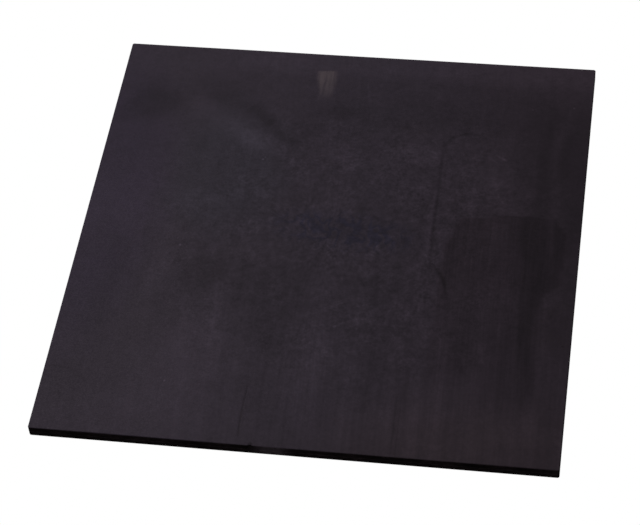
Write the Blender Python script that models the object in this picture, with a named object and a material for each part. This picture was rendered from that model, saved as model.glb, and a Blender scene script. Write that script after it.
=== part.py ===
"""Seedling heat mat: a heavy rubber mat with a sealed electric heating layer inside.

Two moulded rubber trays meet at mid-thickness and close round the working layers. From the bottom up
these are an insulating felt, a reflector foil, a scrim that carries the heating wire, tapes that hold
the wire down and a heat spreader. A flat terminal box against the rear rim joins the wire to a two-pin
inlet and to a bimetal thermal cutout.

Sizes are in millimetres here and are turned into metres where each mesh is made.
X runs across the mat, +Y to its rear edge, +Z up. The origin is the middle of the underside.
"""

import math

import bmesh
import bpy
from mathutils import Vector

MM = 0.001
GAP = 0.3  # room left between pieces that touch

# whole mat
WIDTH = 508.0
DEPTH = 527.0
THICKNESS = 12.5
HALF_WIDTH = WIDTH / 2
HALF_DEPTH = DEPTH / 2

# rubber trays
SHEET = 2.4  # skin above and below the heating layers
RIM = 16.0  # solid border round the heating layers
CORNER_RADIUS = 2.0
EDGE_BREAK = 0.6
CORNER_STEPS = 4
SEAM_LOW = THICKNESS / 2 - GAP / 2
SEAM_HIGH = THICKNESS / 2 + GAP / 2
CAVITY_HALF_X = HALF_WIDTH - RIM
CAVITY_HALF_Y = HALF_DEPTH - RIM

# sealing bead in a groove round the rim
BEAD_INSET = 8.0  # from the outer edge to the bead's centre line
BEAD_WIDTH = 3.4
BEAD_LOW = 5.2
BEAD_HIGH = 7.3
BEAD_CORNER_RADIUS = 6.0
BEAD_STOP = 14.0  # from the inlet's centre to the bead's ends

# stack of layers, from the bottom up
LAYER_HALF_X = CAVITY_HALF_X - GAP
LAYER_HALF_Y = CAVITY_HALF_Y - GAP
FELT_LOW = SHEET + GAP
FELT_HIGH = FELT_LOW + 3.0
FOIL_LOW = FELT_HIGH + GAP
FOIL_HIGH = FOIL_LOW + 0.2
SCRIM_LOW = FOIL_HIGH + GAP
SCRIM_HIGH = SCRIM_LOW + 0.3
WIRE_RADIUS = 0.7
WIRE_Z = SCRIM_HIGH + GAP + WIRE_RADIUS
TAPE_LOW = WIRE_Z + WIRE_RADIUS + GAP
TAPE_HIGH = TAPE_LOW + 0.2
SPREADER_HIGH = THICKNESS - SHEET - GAP
SPREADER_LOW = SPREADER_HIGH - 0.3

# terminal box, centred on the inlet and standing against the rear rim
INLET_X = -32.0
BOX_HALF_X = 32.0
BOX_REAR = CAVITY_HALF_Y - GAP
BOX_FRONT = BOX_REAR - 40.0
BOX_WALL = 1.6
BOX_CORNER_RADIUS = 1.5
BOX_LOW = SHEET + GAP
BOX_FLOOR = BOX_LOW + 1.2
LID_HIGH = SPREADER_LOW - GAP
LID_LOW = LID_HIGH - 1.0
BOX_HIGH = LID_LOW - GAP
POST = 7.0  # square screw post in each corner, from the outer faces
SCREW_INSET = 3.8
RIB_THICKNESS = 0.8
RIB_DROP = 0.8

# wiring inside the box
WIRING_Z = 6.1
SPLICE_Y = 238.0
SPLICE_X = 22.0  # from the inlet's centre
SPLICE_LENGTH = 8.0
SPLICE_SLEEVE_LENGTH = 12.0
LEAD_RADIUS = 0.7
SLOT_WIDTH = 2.0
SLOT_LOW = WIRING_Z - 1.0

# window in the felt, foil and scrim
WINDOW_HALF_X = 44.0
WINDOW_FRONT = BOX_FRONT - 2.2
CUTOUT_WINDOW_HALF_X = 6.0
CUTOUT_WINDOW_FRONT = 175.5
POCKET_Z = FELT_HIGH - 0.7

# heating wire
RUNS = 24
WIRE_HALF_X = 228.0
FRONT_TURN_Y = -236.0
REAR_TURN_Y = 226.0
WINDOW_TURN_Y = 160.0
COLD_END_RADIUS = 10.0
TURN_STEPS = 6

# scrim tapes
TAPE_WIDTH = 12.0
TAPE_HALF_X = 236.0
TAPE_YS = (-205.0, -118.0, -31.0, 56.0, 143.0)

# inlet in the rear rim: two round pins, 8.6 apart
INLET_Z = THICKNESS / 2
SHELL_HALF_X = 10.0
SHELL_HALF_Z = 5.0
SHELL_FRONT = HALF_DEPTH  # the face that the connector enters, flush with the mat's rear edge
SHELL_BACK = CAVITY_HALF_Y + 0.5
SHELL_RADIUS = 1.5
SOCKET_DEPTH = 12.0
SOCKET_RADIUS = 4.2
SOCKET_LOBE_X = 3.2
SOCKET_WAIST = 3.6
PIN_X = 4.3
PIN_RADIUS = 1.2
PIN_TIP = SHELL_FRONT - 3.0
GASKET_GROOVE_BACK = SHELL_BACK + 0.8
GASKET_GROOVE_WIDTH = 2.0
GASKET_GROOVE_DEPTH = 1.3
TAB_HALF_WIDTH = 1.4
TAB_HALF_THICKNESS = 0.4
TAB_END = 240.2
TAB_ROOT = SHELL_BACK - 0.5

# receptacles on the pins' tabs
RECEPTACLE_HALF_WIDTH = 2.3
RECEPTACLE_HALF_THICKNESS = 1.3
RECEPTACLE_WALL = 0.6
RECEPTACLE_REAR = 246.0
RECEPTACLE_NECK = 240.0
BARREL_REAR = 239.3
BARREL_FRONT = 234.5
BARREL_WALL = 0.3

# thermal cutout: its own origin is the middle of the case's closed end
CUTOUT_Y = 178.0
CUTOUT_Z = 7.1
CASE_LENGTH = 20.0
CASE_HALF_X = 3.8
CASE_HALF_Z = 1.8
CASE_WALL = 0.35
CASE_RADIUS = 0.8
BLOCK_HALF_X = CASE_HALF_X - CASE_WALL - GAP
BLOCK_HALF_Z = CASE_HALF_Z - CASE_WALL - GAP
STRIP = 0.3  # thickness of the contact strips
FIXED_STRIP_X = 1.6
MOVING_STRIP_X = -1.6
STRIP_WIDTH = 1.8
STRIP_END = 21.8
CONTACT_X = -0.6
CONTACT_Y = 4.2
CONTACT_RADIUS = 1.0
CONTACT_HEIGHT = 0.5
FIXED_STRIP_Z = -BLOCK_HALF_Z
MOVING_STRIP_Z = 0.35
HINGE_Y = 12.2
HINGE_Z = MOVING_STRIP_Z + STRIP / 2
BLADE_WIDTH = 3.8
BLADE_TIP = 3.2
INSULATOR_SPAN = (12.6, 19.0)
EPOXY_SPAN = (19.3, 20.6)

# points on round pieces
ROUND = 16
SMALL_ROUND = 12


# ---------------------------------------------------------------- tools


def finish_material(name, colour, roughness, metallic=0.0):
    """A plain Principled material."""
    material = bpy.data.materials.new(name)
    material.use_nodes = True
    shader = material.node_tree.nodes["Principled BSDF"]
    shader.inputs["Base Color"].default_value = (*colour, 1.0)
    shader.inputs["Roughness"].default_value = roughness
    shader.inputs["Metallic"].default_value = metallic
    material.diffuse_color = (*colour, 1.0)
    return material


def group(name, x, y, z):
    """An empty that places an assembly."""
    empty = bpy.data.objects.new(name, None)
    empty.location = Vector((x, y, z)) * MM
    empty.empty_display_size = 0.01
    bpy.context.collection.objects.link(empty)
    return empty


def place(obj, parent=None, at=(0, 0, 0)):
    """Put an object in the scene, at a place in millimetres under its parent."""
    obj.location = Vector(at) * MM
    obj.parent = parent
    bpy.context.collection.objects.link(obj)
    return obj


def solid(name, bm, material, parent=None, at=(0, 0, 0), smooth=False):
    """Turn a bmesh drawn in millimetres into an object."""
    bmesh.ops.recalc_face_normals(bm, faces=bm.faces)
    bmesh.ops.scale(bm, vec=(MM, MM, MM), verts=bm.verts)
    mesh = bpy.data.meshes.new(name)
    bm.to_mesh(mesh)
    bm.free()
    mesh.materials.append(material)
    if smooth:
        mesh.shade_smooth()
        mesh.set_sharp_from_angle(angle=math.radians(35))
    return place(bpy.data.objects.new(name, mesh), parent, at)


def cutter(name, bm, parent=None, at=(0, 0, 0)):
    """A helper body for a Boolean, left out of the part."""
    obj = solid(name, bm, bpy.data.materials["helper"], parent, at)
    obj.hide_render = True
    obj.display_type = "WIRE"
    return obj


def combine(target, other, operation="DIFFERENCE"):
    """Cut one body from another, or join the two."""
    modifier = target.modifiers.new(other.name, "BOOLEAN")
    modifier.operation = operation
    modifier.object = other


def loft(bm, rings, closed=False):
    """Skin rings of equal point counts; cap the ends, or join the last ring to the first."""
    loops = [[bm.verts.new(point) for point in ring] for ring in rings]
    pairs = list(zip(loops, loops[1:]))
    if closed:
        pairs.append((loops[-1], loops[0]))
    else:
        bm.faces.new(loops[0])
        bm.faces.new(loops[-1])
    for one, two in pairs:
        for i in range(len(one)):
            j = (i + 1) % len(one)
            bm.faces.new((one[i], one[j], two[j], two[i]))


def along(axis, u, v, station):
    """A point from two section coordinates and a station along an axis."""
    if axis == "X":
        return (station, u, v)
    if axis == "Y":
        return (u, station, v)
    return (u, v, station)


def section(axis, outline, station):
    """An outline of (u, v) points as a ring at a station along an axis."""
    return [along(axis, u, v, station) for u, v in outline]


def prism(bm, axis, outline, low, high):
    """A straight solid of one section."""
    loft(bm, [section(axis, outline, low), section(axis, outline, high)])


def box(bm, x_span, y_span, z_span):
    """A rectangular solid."""
    (left, right), (front, rear) = x_span, y_span
    prism(bm, "Z", [(left, front), (right, front), (right, rear), (left, rear)], *z_span)


def circle(radius, count=SMALL_ROUND):
    """A round outline."""
    turns = [2 * math.pi * i / count for i in range(count)]
    return [(radius * math.cos(t), radius * math.sin(t)) for t in turns]


def flat_oval(half_width, half_thickness, count=SMALL_ROUND):
    """A rectangle with cut corners, with its points in step with a circle's."""
    def held(value):
        return max(-1.0, min(1.0, 1.5 * value))
    return [(half_width * held(u), half_thickness * held(v)) for u, v in circle(1.0, count)]


def rounded_rectangle(half_u, half_v, radius, steps=CORNER_STEPS):
    """An anticlockwise outline that starts at its lower right corner."""
    outline = []
    corners = ((1, -1), (1, 1), (-1, 1), (-1, -1))
    for corner, (side_u, side_v) in enumerate(corners):
        for step in range(steps + 1):
            turn = math.radians(90 * (corner - 1 + step / steps))
            u = side_u * (half_u - radius) + radius * math.cos(turn)
            v = side_v * (half_v - radius) + radius * math.sin(turn)
            outline.append((u, v))
    return outline


def tube(name, points, radius, material):
    """A round wire along a list of points."""
    curve = bpy.data.curves.new(name, "CURVE")
    curve.dimensions = "3D"
    curve.bevel_depth = radius * MM
    curve.bevel_resolution = 2
    curve.use_fill_caps = True
    spline = curve.splines.new("POLY")
    spline.points.add(len(points) - 1)
    for point, place_mm in zip(spline.points, points):
        point.co = (*(Vector(place_mm) * MM), 1.0)
    curve.materials.append(material)
    return place(bpy.data.objects.new(name, curve))


def smooth_route(stops, steps=3):
    """Points on a smooth curve through the stops (Catmull-Rom)."""
    stops = [Vector(stop) for stop in stops]
    padded = [2 * stops[0] - stops[1], *stops, 2 * stops[-1] - stops[-2]]
    route = []
    for before, start, end, after in zip(padded, padded[1:], padded[2:], padded[3:]):
        for step in range(steps):
            t = step / steps
            route.append(0.5 * (2 * start + (end - before) * t
                                + (2 * before - 5 * start + 4 * end - after) * t ** 2
                                + (3 * start - before - 3 * end + after) * t ** 3))
    route.append(stops[-1])
    return route


# ---------------------------------------------------------------- rubber trays


def bead_outline(half_width, stop):
    """The bead's path as a C, open at the inlet, drawn at a given half width."""
    def loop(inset, radius):
        points = rounded_rectangle(HALF_WIDTH - inset, HALF_DEPTH - inset, radius)
        half = len(points) // 2
        return points[half:] + points[:half]
    outer_y = HALF_DEPTH - BEAD_INSET + half_width
    inner_y = HALF_DEPTH - BEAD_INSET - half_width
    left, right = INLET_X - stop, INLET_X + stop
    outer = loop(BEAD_INSET - half_width, BEAD_CORNER_RADIUS + half_width)
    inner = loop(BEAD_INSET + half_width, BEAD_CORNER_RADIUS - half_width)
    return [(left, outer_y), *outer, (right, outer_y), (right, inner_y), *reversed(inner), (left, inner_y)]


def tray(name, material, outer_face, seam):
    """One rubber half. outer_face is its exposed height, seam the height of its rim."""
    inward = 1 if seam > outer_face else -1
    full = rounded_rectangle(HALF_WIDTH, HALF_DEPTH, CORNER_RADIUS)
    broken = rounded_rectangle(HALF_WIDTH - EDGE_BREAK, HALF_DEPTH - EDGE_BREAK, CORNER_RADIUS)
    bm = bmesh.new()
    loft(bm, [
        section("Z", broken, outer_face),
        section("Z", full, outer_face + inward * EDGE_BREAK),
        section("Z", full, seam),
    ])
    body = solid(name, bm, material)

    beyond = seam + inward
    hollow = bmesh.new()
    box(hollow, (-CAVITY_HALF_X, CAVITY_HALF_X), (-CAVITY_HALF_Y, CAVITY_HALF_Y),
        sorted((outer_face + inward * SHEET, beyond)))
    combine(body, cutter(name + "_hollow", hollow))

    groove_floor = BEAD_LOW - GAP if inward > 0 else BEAD_HIGH + GAP
    groove = bmesh.new()
    prism(groove, "Z", bead_outline(BEAD_WIDTH / 2 + GAP, BEAD_STOP - GAP),
          *sorted((groove_floor, beyond)))
    combine(body, cutter(name + "_groove", groove))

    notch_face = INLET_Z - inward * (SHELL_HALF_Z + GAP)
    notch = bmesh.new()
    box(notch, (INLET_X - SHELL_HALF_X - GAP, INLET_X + SHELL_HALF_X + GAP),
        (CAVITY_HALF_Y - 1, HALF_DEPTH + 1), sorted((notch_face, beyond)))
    combine(body, cutter(name + "_inlet_notch", notch))
    return body


def edge_seal(material):
    """The butyl bead between the two rims."""
    bm = bmesh.new()
    prism(bm, "Z", bead_outline(BEAD_WIDTH / 2, BEAD_STOP), BEAD_LOW, BEAD_HIGH)
    solid("edge_seal", bm, material)


# ---------------------------------------------------------------- layers


def sheet_outline(with_cutout_window):
    """A layer's outline, notched round the terminal box and, if asked, round the cutout."""
    left, right = INLET_X - WINDOW_HALF_X, INLET_X + WINDOW_HALF_X
    outline = [
        (left, WINDOW_FRONT),
        (left, LAYER_HALF_Y),
        (-LAYER_HALF_X, LAYER_HALF_Y),
        (-LAYER_HALF_X, -LAYER_HALF_Y),
        (LAYER_HALF_X, -LAYER_HALF_Y),
        (LAYER_HALF_X, LAYER_HALF_Y),
        (right, LAYER_HALF_Y),
        (right, WINDOW_FRONT),
    ]
    if with_cutout_window:
        near, far = INLET_X - CUTOUT_WINDOW_HALF_X, INLET_X + CUTOUT_WINDOW_HALF_X
        outline += [
            (far, WINDOW_FRONT),
            (far, CUTOUT_WINDOW_FRONT),
            (near, CUTOUT_WINDOW_FRONT),
            (near, WINDOW_FRONT),
        ]
    return outline


def layer(name, material, low, high, with_cutout_window=True):
    """A flat layer of the stack."""
    bm = bmesh.new()
    prism(bm, "Z", sheet_outline(with_cutout_window), low, high)
    return solid(name, bm, material)


def insulation_felt(material):
    """The felt keeps the heat off the bench, with a shallow pocket under the thermal cutout."""
    felt = layer("insulation_felt", material, FELT_LOW, FELT_HIGH, with_cutout_window=False)
    pocket = bmesh.new()
    box(pocket, (INLET_X - CUTOUT_WINDOW_HALF_X, INLET_X + CUTOUT_WINDOW_HALF_X),
        (CUTOUT_WINDOW_FRONT, WINDOW_FRONT + 1), (POCKET_Z, FELT_HIGH + 1))
    combine(felt, cutter("felt_pocket", pocket))


def heat_spreader(material):
    """The foil right under the top skin evens out the wire's heat."""
    bm = bmesh.new()
    box(bm, (-LAYER_HALF_X, LAYER_HALF_X), (-LAYER_HALF_Y, LAYER_HALF_Y), (SPREADER_LOW, SPREADER_HIGH))
    solid("heat_spreader", bm, material)


def scrim_tapes(material):
    """Woven tapes across the runs."""
    for number, y in enumerate(TAPE_YS, start=1):
        bm = bmesh.new()
        box(bm, (-TAPE_HALF_X, TAPE_HALF_X), (-TAPE_WIDTH / 2, TAPE_WIDTH / 2), (TAPE_LOW, TAPE_HIGH))
        solid(f"scrim_tape_{number}", bm, material, at=(0, y, 0))


def arc(centre_x, centre_y, radius, start, end):
    """Points of a flat arc at the wire's height, between two angles in degrees."""
    turns = [math.radians(start + (end - start) * i / TURN_STEPS) for i in range(TURN_STEPS + 1)]
    return [(centre_x + radius * math.cos(t), centre_y + radius * math.sin(t), WIRE_Z) for t in turns]


def cold_end(side):
    """From the splice out of the box and up onto the scrim; side is -1 on the left, 1 on the right."""
    stations = (
        (SPLICE_X + 0.25, WIRING_Z),
        (BOX_HALF_X + 1.5, WIRING_Z),
        (BOX_HALF_X + 4.5, WIRING_Z + 0.3),
        (WINDOW_HALF_X - 3.0, WIRE_Z - 0.3),
        (WINDOW_HALF_X, WIRE_Z),
    )
    return [(INLET_X + side * x, SPLICE_Y, z) for x, z in stations]


def heating_wire(material):
    """One wire: cold end, 24 runs joined by round turns, cold end."""
    pitch = 2 * WIRE_HALF_X / (RUNS - 1)
    radius = pitch / 2
    side = WIRE_HALF_X - COLD_END_RADIUS
    corner_y = SPLICE_Y - COLD_END_RADIUS
    route = cold_end(-1) + arc(-side, corner_y, COLD_END_RADIUS, 90, 180)
    for run in range(RUNS - 1):
        x = pitch * run - WIRE_HALF_X
        if run % 2 == 0:
            route += arc(x + radius, FRONT_TURN_Y + radius, radius, 180, 360)
        else:
            over_window = x + pitch > INLET_X - WINDOW_HALF_X and x < INLET_X + WINDOW_HALF_X
            turn_y = WINDOW_TURN_Y if over_window else REAR_TURN_Y
            route += arc(x + radius, turn_y - radius, radius, 180, 0)
    route += arc(side, corner_y, COLD_END_RADIUS, 0, 90) + cold_end(1)[::-1]
    tube("heating_wire", route, WIRE_RADIUS, material)


# ---------------------------------------------------------------- terminal box


def screw_places():
    """The four screws, from the box's own centre line."""
    across = BOX_HALF_X - SCREW_INSET
    return [(x, y) for y in (BOX_FRONT + SCREW_INSET, BOX_REAR - SCREW_INSET) for x in (-across, across)]


def box_plan():
    """The outline that the base and the lid share, at its own Y."""
    outline = rounded_rectangle(BOX_HALF_X, (BOX_REAR - BOX_FRONT) / 2, BOX_CORNER_RADIUS)
    return [(x, y + (BOX_REAR + BOX_FRONT) / 2) for x, y in outline]


def terminal_box_base(material, parent):
    """A shallow tray with a square screw post in each corner."""
    bm = bmesh.new()
    prism(bm, "Z", box_plan(), BOX_LOW, BOX_HIGH)
    base = solid("terminal_box_base", bm, material, parent)

    over = BOX_HIGH + 1
    side, post_x = BOX_HALF_X - BOX_WALL, BOX_HALF_X - POST
    front, rear = BOX_FRONT + BOX_WALL, BOX_REAR - BOX_WALL
    post_front, post_rear = BOX_FRONT + POST, BOX_REAR - POST
    room = bmesh.new()
    prism(room, "Z", [
        (-post_x, front), (post_x, front), (post_x, post_front), (side, post_front),
        (side, post_rear), (post_x, post_rear), (post_x, rear), (-post_x, rear),
        (-post_x, post_rear), (-side, post_rear), (-side, post_front), (-post_x, post_front),
    ], BOX_FLOOR, over)
    combine(base, cutter("terminal_box_room", room, parent))

    ways = bmesh.new()
    half_slot = SLOT_WIDTH / 2
    for sign in (-1, 1):
        wall_x = sorted((sign * (side - 0.5), sign * (BOX_HALF_X + 0.5)))
        box(ways, wall_x, (SPLICE_Y - half_slot, SPLICE_Y + half_slot), (SLOT_LOW, over))
    for x in (MOVING_STRIP_X, FIXED_STRIP_X):
        box(ways, (x - half_slot, x + half_slot), (BOX_FRONT - 0.5, front + 0.5), (SLOT_LOW, over))
    tab_room = PIN_X + RECEPTACLE_HALF_WIDTH + 2.4
    box(ways, (-tab_room, tab_room), (rear - 0.5, BOX_REAR + 0.5),
        (INLET_Z - RECEPTACLE_HALF_THICKNESS - 0.4, over))
    for x, y in screw_places():
        hole = [(x + u, y + v) for u, v in circle(1.3)]
        prism(ways, "Z", hole, BOX_FLOOR + 0.3, over)
    combine(base, cutter("terminal_box_ways", ways, parent))


def terminal_box_lid(material, parent):
    """A flat lid with countersunk screw holes and three locating ribs."""
    bm = bmesh.new()
    prism(bm, "Z", box_plan(), LID_LOW, LID_HIGH)
    lid = solid("terminal_box_lid", bm, material, parent)

    rib_z = (LID_LOW - RIB_DROP, LID_LOW + 0.5)
    rib_edge = BOX_WALL + GAP
    rib_clear = POST + GAP
    ribs = bmesh.new()
    box(ribs, (-BOX_HALF_X + rib_clear, BOX_HALF_X - rib_clear),
        (BOX_FRONT + rib_edge, BOX_FRONT + rib_edge + RIB_THICKNESS), rib_z)
    for sign in (-1, 1):
        outer = sign * (BOX_HALF_X - rib_edge)
        x_span = sorted((outer, outer - sign * RIB_THICKNESS))
        box(ribs, x_span, (BOX_FRONT + rib_clear, SPLICE_Y - 3.0), rib_z)
    combine(lid, cutter("lid_ribs", ribs, parent), "UNION")

    holes = bmesh.new()
    for x, y in screw_places():
        profile = ((1.3, LID_LOW - 0.5), (1.3, LID_HIGH - 0.8), (2.1, LID_HIGH), (2.1, LID_HIGH + 0.5))
        loft(holes, [[(x + u, y + v, z) for u, v in circle(r)] for r, z in profile])
    combine(lid, cutter("lid_holes", holes, parent))


def terminal_box_screws(material, parent):
    """Countersunk screws with a cross recess, set flush with the lid."""
    cross = [(u, v) if i % 4 == 0 else (u * 0.4, v * 0.4) for i, (u, v) in enumerate(circle(1.0, ROUND))]
    stations = (
        (circle(0.6, ROUND), BOX_FLOOR + 0.6),
        (circle(1.0, ROUND), BOX_FLOOR + 1.0),
        (circle(1.0, ROUND), LID_HIGH - 0.8),
        (circle(1.8, ROUND), LID_HIGH),
        (cross, LID_HIGH),
        (cross, LID_HIGH - 0.6),
    )
    bm = bmesh.new()
    loft(bm, [section("Z", outline, z) for outline, z in stations])
    first = solid("terminal_box_screw_1", bm, material, parent, (*screw_places()[0], 0), smooth=True)
    for number, (x, y) in enumerate(screw_places()[1:], start=2):
        place(bpy.data.objects.new(f"terminal_box_screw_{number}", first.data), parent, (x, y, 0))


# ---------------------------------------------------------------- inlet


def socket_outline():
    """The figure-of-eight socket: two round lobes and a straight waist."""
    reach = math.degrees(math.asin(SOCKET_WAIST / SOCKET_RADIUS))
    sweep = 180 - reach
    outline = []
    for side in (1, -1):
        for step in range(ROUND // 2 + 1):
            turn = math.radians(-sweep + 2 * sweep * step / (ROUND // 2))
            u = side * (SOCKET_LOBE_X + SOCKET_RADIUS * math.cos(turn))
            outline.append((u, side * SOCKET_RADIUS * math.sin(turn)))
    return outline


def inlet_shell(material, parent):
    """The moulded inlet body, with a groove round its solid back for the gasket."""
    full = rounded_rectangle(SHELL_HALF_X, SHELL_HALF_Z, SHELL_RADIUS)
    waist = rounded_rectangle(SHELL_HALF_X - GASKET_GROOVE_DEPTH, SHELL_HALF_Z - GASKET_GROOVE_DEPTH,
                              SHELL_RADIUS)
    groove_front = GASKET_GROOVE_BACK + GASKET_GROOVE_WIDTH
    stations = (
        (full, SHELL_BACK),
        (full, GASKET_GROOVE_BACK),
        (waist, GASKET_GROOVE_BACK),
        (waist, groove_front),
        (full, groove_front),
        (full, SHELL_FRONT),
    )
    bm = bmesh.new()
    loft(bm, [section("Y", outline, y) for outline, y in stations])
    shell = solid("inlet_shell", bm, material, parent, (0, 0, INLET_Z))

    socket_back = SHELL_FRONT - SOCKET_DEPTH
    socket = bmesh.new()
    prism(socket, "Y", socket_outline(), socket_back, SHELL_FRONT + 1)
    combine(shell, cutter("inlet_socket", socket, parent, (0, 0, INLET_Z)))

    pin_holes = bmesh.new()
    for x in (-PIN_X, PIN_X):
        hole = [(x + u, v) for u, v in circle(PIN_RADIUS + GAP, ROUND)]
        prism(pin_holes, "Y", hole, SHELL_BACK - 1, socket_back + 1)
    combine(shell, cutter("inlet_pin_holes", pin_holes, parent, (0, 0, INLET_Z)))


def inlet_gasket(material, parent):
    """A square-section ring in the shell's groove."""
    depth = GASKET_GROOVE_DEPTH - GAP
    outer = rounded_rectangle(SHELL_HALF_X, SHELL_HALF_Z, SHELL_RADIUS)
    inner = rounded_rectangle(SHELL_HALF_X - depth, SHELL_HALF_Z - depth, SHELL_RADIUS)
    back = GASKET_GROOVE_BACK + GAP
    front = GASKET_GROOVE_BACK + GASKET_GROOVE_WIDTH - GAP
    bm = bmesh.new()
    loft(bm, [
        section("Y", outer, back),
        section("Y", outer, front),
        section("Y", inner, front),
        section("Y", inner, back),
    ], closed=True)
    solid("inlet_gasket", bm, material, parent, (0, 0, INLET_Z), smooth=True)


def inlet_pin(name, x, material, parent):
    """A round pin in front, a flat tab behind."""
    stations = (
        (flat_oval(TAB_HALF_WIDTH, TAB_HALF_THICKNESS), TAB_END),
        (flat_oval(TAB_HALF_WIDTH, TAB_HALF_THICKNESS), TAB_ROOT),
        (circle(PIN_RADIUS), SHELL_BACK),
        (circle(PIN_RADIUS), PIN_TIP - 0.6),
        (circle(PIN_RADIUS * 0.55), PIN_TIP),
    )
    bm = bmesh.new()
    loft(bm, [section("Y", outline, y) for outline, y in stations])
    solid(name, bm, material, parent, (x, 0, INLET_Z), smooth=True)


def receptacle(name, x, material, parent):
    """A push-on terminal: a flat sleeve on the tab, drawn down to a crimp barrel."""
    inner_width = RECEPTACLE_HALF_WIDTH - RECEPTACLE_WALL
    inner_thickness = RECEPTACLE_HALF_THICKNESS - RECEPTACLE_WALL
    barrel_bore = LEAD_RADIUS + GAP
    stations = (
        (flat_oval(RECEPTACLE_HALF_WIDTH, RECEPTACLE_HALF_THICKNESS), RECEPTACLE_REAR),
        (flat_oval(RECEPTACLE_HALF_WIDTH, RECEPTACLE_HALF_THICKNESS), RECEPTACLE_NECK),
        (circle(barrel_bore + BARREL_WALL), BARREL_REAR),
        (circle(barrel_bore + BARREL_WALL), BARREL_FRONT),
        (circle(barrel_bore), BARREL_FRONT),
        (circle(barrel_bore), BARREL_REAR),
        (flat_oval(inner_width, inner_thickness), RECEPTACLE_NECK),
        (flat_oval(inner_width, inner_thickness), RECEPTACLE_REAR),
    )
    bm = bmesh.new()
    loft(bm, [section("Y", outline, y) for outline, y in stations], closed=True)
    solid(name, bm, material, parent, (x, 0, INLET_Z), smooth=True)


# ---------------------------------------------------------------- splices and leads


def splice_tube(name, side, bore, wall, length, material, parent):
    """An open tube on a cold end."""
    half = length / 2
    bm = bmesh.new()
    loft(bm, [
        section("X", circle(bore + wall), -half),
        section("X", circle(bore + wall), half),
        section("X", circle(bore), half),
        section("X", circle(bore), -half),
    ], closed=True)
    solid(name, bm, material, parent, (side * SPLICE_X, SPLICE_Y, WIRING_Z), smooth=True)


def splices(brass, shrink_tube, parent):
    """A crimped splice and its heat-shrink sleeve on each cold end."""
    bore = LEAD_RADIUS + GAP
    splice_wall = 0.25
    sleeve_bore = bore + splice_wall + GAP
    for end, side in (("start", -1), ("end", 1)):
        splice_tube(f"splice_{end}", side, bore, splice_wall, SPLICE_LENGTH, brass, parent)
        splice_tube(f"splice_sleeve_{end}", side, sleeve_bore, GAP, SPLICE_SLEEVE_LENGTH,
                    shrink_tube, parent)


def leads(line_material, return_material, neutral_material):
    """Three short leads inside the box; the first two run on to the thermal cutout."""
    crimp_y = BARREL_REAR - 0.4
    strip_y = CUTOUT_Y + STRIP_END + GAP
    fixed_x = INLET_X + FIXED_STRIP_X
    moving_x = INLET_X + MOVING_STRIP_X
    moving_z = CUTOUT_Z + HINGE_Z
    line = [
        (INLET_X - PIN_X, crimp_y, INLET_Z),
        (INLET_X - PIN_X, BARREL_FRONT - 2.0, INLET_Z),
        (INLET_X - 2.6, 224.0, WIRING_Z),
        (INLET_X + 0.6, 215.0, WIRING_Z),
        (fixed_x, BOX_FRONT + 2.0, WIRING_Z),
        (fixed_x, BOX_FRONT - 2.0, WIRING_Z),
        (fixed_x, strip_y, CUTOUT_Z + FIXED_STRIP_Z + STRIP / 2),
    ]
    back = [
        (moving_x, strip_y, moving_z),
        (moving_x, strip_y + 2.5, moving_z - 0.5),
        (moving_x, BOX_FRONT, WIRING_Z + 0.1),
        (moving_x - 0.4, BOX_FRONT + 4.0, WIRING_Z),
        (INLET_X - 5.5, 219.0, WIRING_Z),
        (INLET_X - 9.6, 226.0, WIRING_Z),
        (INLET_X - 10.2, 233.0, WIRING_Z),
        (INLET_X - 12.6, SPLICE_Y - 0.7, WIRING_Z),
        (INLET_X - 16.5, SPLICE_Y, WIRING_Z),
        (INLET_X - SPLICE_X + 0.25, SPLICE_Y, WIRING_Z),
    ]
    neutral = [
        (INLET_X + PIN_X, crimp_y, INLET_Z),
        (INLET_X + PIN_X, BARREL_FRONT - 1.0, INLET_Z),
        (INLET_X + 5.1, 229.0, WIRING_Z),
        (INLET_X + 8.6, 227.6, WIRING_Z),
        (INLET_X + 11.0, 231.0, WIRING_Z),
        (INLET_X + 12.6, 236.0, WIRING_Z),
        (INLET_X + 16.5, SPLICE_Y, WIRING_Z),
        (INLET_X + SPLICE_X - 0.25, SPLICE_Y, WIRING_Z),
    ]
    tube("lead_line", smooth_route(line), LEAD_RADIUS, line_material)
    tube("lead_return", smooth_route(back), LEAD_RADIUS, return_material)
    tube("lead_neutral", smooth_route(neutral), LEAD_RADIUS, neutral_material)


# ---------------------------------------------------------------- thermal cutout


def cutout_case(material, parent):
    """A drawn steel can, open at the lead end."""
    outer = rounded_rectangle(CASE_HALF_X, CASE_HALF_Z, CASE_RADIUS)
    inner = rounded_rectangle(CASE_HALF_X - CASE_WALL, CASE_HALF_Z - CASE_WALL, CASE_RADIUS - CASE_WALL)
    bm = bmesh.new()
    loft(bm, [
        section("Y", outer, 0.0),
        section("Y", outer, CASE_LENGTH),
        section("Y", inner, CASE_LENGTH),
        section("Y", inner, CASE_WALL),
    ])
    solid("cutout_case", bm, material, parent, smooth=True)


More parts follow.
